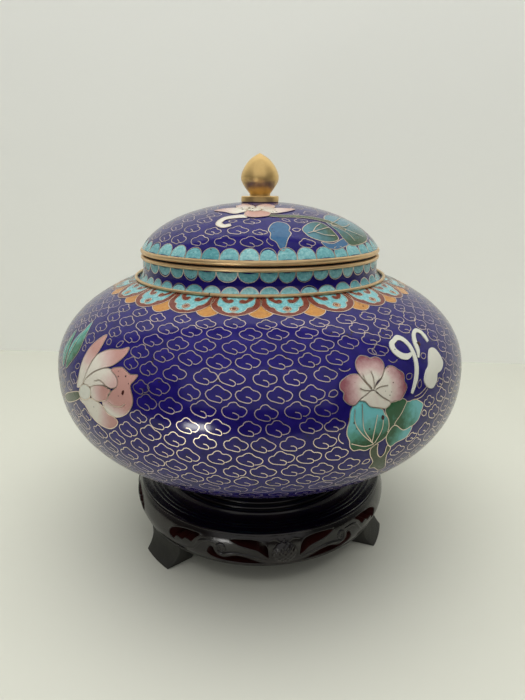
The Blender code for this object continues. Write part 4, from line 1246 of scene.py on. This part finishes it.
cutter_points, cutter_faces = [], []
for turn in PANEL_TURNS:
    for loop in hole_loops(turn):
        base, count = len(cutter_points), len(loop)
        for out in (-APRON_WALL - 6.0, 4.0):
            cutter_points += [on_apron(a, s, out - (apron_radius(s) - apron_radius(0.5))) for a, s in loop]
        cutter_faces += [list(range(base, base + count)), list(range(base + count, base + 2 * count))[::-1]]
        for i in range(count):
            k = (i + 1) % count
            cutter_faces.append([base + i, base + k, base + count + k, base + count + i])
cutter = mesh_piece("stand_cutter", cutter_points, cutter_faces)
bpy.ops.object.select_all(action="DESELECT")
cutter.select_set(True)
bpy.context.view_layer.objects.active = cutter
bpy.ops.object.mode_set(mode="EDIT")
bpy.ops.mesh.select_all(action="SELECT")
bpy.ops.mesh.normals_make_consistent(inside=False)
bpy.ops.object.mode_set(mode="OBJECT")
cutter.data.materials.append(cut_lacquer)
stand.data.materials.append(black_lacquer)
stand.data.materials.append(cut_lacquer)
bpy.ops.object.select_all(action="DESELECT")
stand.select_set(True)
bpy.context.view_layer.objects.active = stand
cut = stand.modifiers.new("piercing", "BOOLEAN")
cut.object, cut.operation, cut.solver, cut.material_mode = cutter, "DIFFERENCE", "EXACT", "TRANSFER"
bpy.ops.object.modifier_apply(modifier=cut.name)
bpy.data.objects.remove(cutter)
bpy.ops.object.shade_smooth_by_angle(angle=math.radians(32))
hand_over(stand, None, "lacquered_wood", "wooden_stand")

# %% [markdown]
# ## Carving
# What stands proud of the apron is laid on it as low relief: a fruit cross-hatched with a knife, its
# calyx, a leaf that ends in a scroll on either side, and a fine rounded edge along every hole.


# %% Carve the panels
def ribs(name, paths, sides=5):
    """Rounded ribs on the apron. Each path is (points, widths, rise, closed) in degrees and shares."""
    vertices, faces = [], []
    for points, widths, rise, closed in paths:
        points = np.asarray(points, float)
        count = len(points)
        spots = np.array([on_apron(a, s) for a, s in points])
        normals = np.array([on_apron(a, s, 1.0) for a, s in points]) - spots
        normals /= np.linalg.norm(normals, axis=1)[:, None]
        way = np.roll(spots, -1, axis=0) - np.roll(spots, 1, axis=0) if closed else np.gradient(spots, axis=0)
        side = np.cross(way, normals)
        side /= np.linalg.norm(side, axis=1)[:, None]
        half = np.interp(np.linspace(0, 1, count), np.linspace(0, 1, len(widths)), widths)[:, None] / 2 * MM
        turn = np.linspace(math.pi, 0, sides)
        base = len(vertices)
        for t in turn:
            level = rise * MM * np.minimum(1.0, half / (max(widths) / 2 * MM)) * math.sin(t) - 0.15 * MM
            vertices.extend(map(tuple, spots + side * half * math.cos(t) + normals * level))
        for i in range(count if closed else count - 1):
            k = (i + 1) % count
            for j in range(sides):
                m = (j + 1) % sides
                faces.append((base + j * count + i, base + m * count + i, base + m * count + k,
                              base + j * count + k))
        if not closed:
            faces.append([base + j * count for j in range(sides)][::-1])
            faces.append([base + j * count + count - 1 for j in range(sides)])
    piece = mesh_piece(name, vertices, faces, sharp=70.0)
    bm = bmesh.new()
    bm.from_mesh(piece.data)
    bmesh.ops.recalc_face_normals(bm, faces=bm.faces)
    bm.to_mesh(piece.data)
    bm.free()
    return piece


def spiral(along, share, size, start, turns, steps=18):
    """Points of a small spiral on the apron, in degrees and shares."""
    made = []
    for step in range(steps + 1):
        t = step / steps
        reach = size * (1 - 0.8 * t)
        turn = start + turns * math.tau * t
        made.append((along + math.degrees(reach * math.cos(turn) / APRON_MIDDLE),
                     share + reach * math.sin(turn) / APRON))
    return made


carved = []
for turn in PANEL_TURNS:
    for loop in hole_loops(turn):
        carved.append((loop, [0.75, 0.75], 0.22, True))
    for side in (1, -1):
        scroll = spiral(turn + side * 24.6, 0.60, 3.0, math.radians(-90), side * 1.35)
        stalk = curve([(turn + side * 7.0, 0.30), (turn + side * 13.5, 0.44), (turn + side * 19.5, 0.50),
                       (turn + side * 24.6, 0.42)], 5, closed=False)
        carved.append((np.vstack([stalk[:-1], scroll]), [0.8, 1.6, 2.0, 1.7, 1.2, 0.8], 0.9, False))
        leaf = curve([(turn + side * 27.0, 0.74), (turn + side * 33.0, 0.70), (turn + side * 38.0, 0.36),
                      (turn + side * 46.0, 0.26)], 6, closed=False)
        carved.append((leaf, [1.2, 2.2, 1.8, 0.8], 0.5, False))
        calyx = curve([(turn + side * 1.2, 0.80), (turn + side * 3.4, 0.90), (turn + side * 6.4, 0.86)], 5,
                      closed=False)
        carved.append((calyx, [1.0, 2.0, 0.6], 0.6, False))
    fruit_tip = curve([(turn, 0.78), (turn, 0.86), (turn, 0.93)], 4, closed=False)
    carved.append((fruit_tip, [0.8, 2.2, 0.8], 0.7, False))
hand_over(ribs("stand_carved_relief", carved), black_lacquer, "lacquered_wood")

# %% Carve the hatched fruits
FRUIT_RADIUS, FRUIT_LEVEL = 5.9, 0.52
FRUIT_BULGE, HATCH_DEPTH, HATCH_LINES = 2.6, 0.24, 15
fruits = []
for turn in PANEL_TURNS:
    bpy.ops.object.select_all(action="DESELECT")
    bpy.ops.mesh.primitive_uv_sphere_add(segments=72, ring_count=40, radius=1.0, location=(0, 0, 0))
    fruit = bpy.context.object
    for vertex in fruit.data.vertices:
        x, y, z = vertex.co
        hatch = math.cos(x * HATCH_LINES) * math.cos(y * HATCH_LINES)
        out = -0.6 + FRUIT_BULGE * z + (HATCH_DEPTH * hatch if z > 0.1 else 0.0)
        vertex.co = on_apron(turn + math.degrees(x * FRUIT_RADIUS / APRON_MIDDLE),
                             FRUIT_LEVEL + y * FRUIT_RADIUS / APRON, out)
    bpy.ops.object.mode_set(mode="EDIT")
    bpy.ops.mesh.select_all(action="SELECT")
    bpy.ops.mesh.normals_make_consistent(inside=False)
    bpy.ops.object.mode_set(mode="OBJECT")
    bpy.ops.object.shade_smooth()
    fruits.append(fruit)
bpy.ops.object.select_all(action="DESELECT")
for fruit in fruits:
    fruit.select_set(True)
bpy.context.view_layer.objects.active = fruits[0]
bpy.ops.object.join()
fruits[0].name = "stand_carved_fruits"
hand_over(fruits[0], black_lacquer, "lacquered_wood")

# %% [markdown]
# ## The feet
# Three block feet are glued under the apron between the panels. A cube is cut across at a few levels, its
# rings are widened towards the floor so that the toe flares, and its edges are softened with a bevel.

# %% Shape the feet
FOOT_NAMES = ("foot_left", "foot_right", "foot_back")
FOOT_HEIGHT, FOOT_FRONT, FOOT_FLARE, FOOT_DEPTH = 13.2, 63.5, 4.8, 10.5
TOP_WIDTH, TOE_WIDTH, FLARE_SHARE = 27.4, 20.8, 0.6
for index, name in enumerate(FOOT_NAMES):
    bpy.ops.object.select_all(action="DESELECT")
    bpy.ops.mesh.primitive_cube_add(size=1, location=(0, 0, 0))
    foot = bpy.context.object
    foot.name = name
    bpy.ops.object.mode_set(mode="EDIT")
    for level in np.linspace(-0.5, 0.5, 13)[1:-1]:
        bpy.ops.mesh.select_all(action="SELECT")
        bpy.ops.mesh.bisect(plane_co=(0, 0, level), plane_no=(0, 0, 1))
    for across in np.linspace(-0.5, 0.5, 7)[1:-1]:
        bpy.ops.mesh.select_all(action="SELECT")
        bpy.ops.mesh.bisect(plane_co=(across, 0, 0), plane_no=(1, 0, 0))
    bpy.ops.object.mode_set(mode="OBJECT")
    middle = math.radians(PANEL_TURN + 120 * (index - 0.5))
    for vertex in foot.data.vertices:
        share, across, outer = vertex.co.z + 0.5, vertex.co.x * 2, vertex.co.y < 0
        front = FOOT_FRONT + FOOT_FLARE * max(0.0, 1 - share / FLARE_SHARE) ** 2
        half = (TOE_WIDTH + (TOP_WIDTH - TOE_WIDTH) * math.sin(math.pi / 2 * share)) / 2
        x = half * across
        out = math.sqrt(front ** 2 - x ** 2) if outer else FOOT_FRONT - FOOT_DEPTH
        vertex.co = ((out * math.sin(middle) + x * math.cos(middle)) * MM,
                     (-out * math.cos(middle) + x * math.sin(middle)) * MM, FOOT_HEIGHT * share * MM)
    bpy.ops.object.mode_set(mode="EDIT")
    bpy.ops.mesh.select_all(action="SELECT")
    bpy.ops.mesh.normals_make_consistent(inside=False)
    bpy.ops.object.mode_set(mode="OBJECT")
    soft = foot.modifiers.new("softened", "BEVEL")
    soft.width, soft.segments, soft.limit_method, soft.angle_limit = 0.5 * MM, 2, "ANGLE", math.radians(40)
    bpy.ops.object.modifier_apply(modifier=soft.name)
    bpy.ops.object.shade_smooth_by_angle(angle=math.radians(40))
    hand_over(foot, matt_wood, "foot_wood", f"stand_foot_{index + 1}")

# %% [markdown]
# ## Table, wall and light
# The jar stands on a pale table in front of a pale wall, in soft daylight. A small window-like light at
# the left makes the bright spots on the belly, the bud and the stand. The room behind the camera is
# dimmer, and that keeps the enamel deep.


# %% Build the stage
def plain(name, colour, roughness):
    made = bpy.data.materials.new(name)
    made.use_nodes = True
    shader = made.node_tree.nodes["Principled BSDF"]
    shader.inputs["Base Color"].default_value = (*colour, 1.0)
    shader.inputs["Roughness"].default_value = roughness
    return made


TABLE_SIZE, TABLE_EDGE = 6.0, -0.31
WALL_DISTANCE, WALL_TURN, WALL_HEIGHT = 0.287, math.radians(-4.9), 2.4
bpy.ops.object.select_all(action="DESELECT")
bpy.ops.mesh.primitive_plane_add(size=TABLE_SIZE, location=(0, TABLE_SIZE / 2 + TABLE_EDGE, 0))
table = bpy.context.object
table.name = "table"
table.data.materials.append(plain("table_paint", (0.59, 0.595, 0.518), 0.5))
bpy.ops.mesh.primitive_plane_add(size=1, location=(0, WALL_DISTANCE, WALL_HEIGHT / 2),
                                 rotation=(math.radians(90), 0, WALL_TURN))
wall = bpy.context.object
wall.name = "wall"
wall.scale = (5, WALL_HEIGHT, 1)
wall_paint = plain("wall_paint", (0.935, 0.945, 0.89), 0.8)
tree = wall_paint.node_tree
see_through = tree.nodes.new("ShaderNodeBsdfTransparent")
either = tree.nodes.new("ShaderNodeMixShader")
facing = tree.nodes.new("ShaderNodeNewGeometry")
link_up(tree, (facing.outputs["Backfacing"], either.inputs["Fac"]),
        (tree.nodes["Principled BSDF"].outputs["BSDF"], either.inputs[1]),
        (see_through.outputs["BSDF"], either.inputs[2]),
        (either.outputs["Shader"], tree.nodes["Material Output"].inputs["Surface"]))
wall.data.materials.append(wall_paint)


def area_light(name, place, target, size, power, colour, spread=180):
    """A rectangular light that faces a point. Lengths are in metres."""
    data = bpy.data.lights.new(name, "AREA")
    data.shape = "RECTANGLE"
    data.spread = math.radians(spread)
    data.size, data.size_y = size
    data.energy = power
    data.color = colour
    light = bpy.data.objects.new(name, data)
    bpy.context.scene.collection.objects.link(light)
    light.location = place
    light.visible_camera = False
    away = np.array(target, float) - place
    light.rotation_euler = (math.atan2(math.hypot(away[0], away[1]), -away[2]), 0,
                            math.atan2(away[0], -away[1]) + math.pi)
    return light


area_light("low_window", (-0.136, -0.283, 0.030), (-0.02, -0.09, 0.09), (0.060, 0.028), 0.022,
           (1.0, 0.99, 0.96), spread=90)
area_light("room_behind", (0.0, -1.3, 1.0), (0, 0, 0.1), (2.4, 1.6), 6.5, (1.0, 0.99, 0.985))
ceiling = area_light("ceiling", (0.0, 0.06, 1.25), (0, 0.15, 0), (1.6, 1.6), 25.0, (1.0, 0.995, 0.98))
ceiling.visible_glossy = False
bpy.context.scene.view_settings.view_transform = "Standard"

world = bpy.data.worlds.new("room")
bpy.context.scene.world = world
world.use_nodes = True
tree = world.node_tree
background = tree.nodes["Background"]
direction = tree.nodes.new("ShaderNodeTexCoord")
parts = tree.nodes.new("ShaderNodeSeparateXYZ")
link_up(tree, (direction.outputs["Generated"], parts.inputs[0]))
behind = maths(tree, "ADD", maths(tree, "MULTIPLY", parts.outputs["Y"], 0.40), 0.10)
above = maths(tree, "MULTIPLY", parts.outputs["Z"], 0.40)
total = maths(tree, "MAXIMUM", maths(tree, "ADD", behind, above), 0.05)
link_up(tree, (total, background.inputs["Strength"]))
background.inputs["Color"].default_value = (1.0, 1.0, 0.99, 1.0)
print("stage and lights are set")
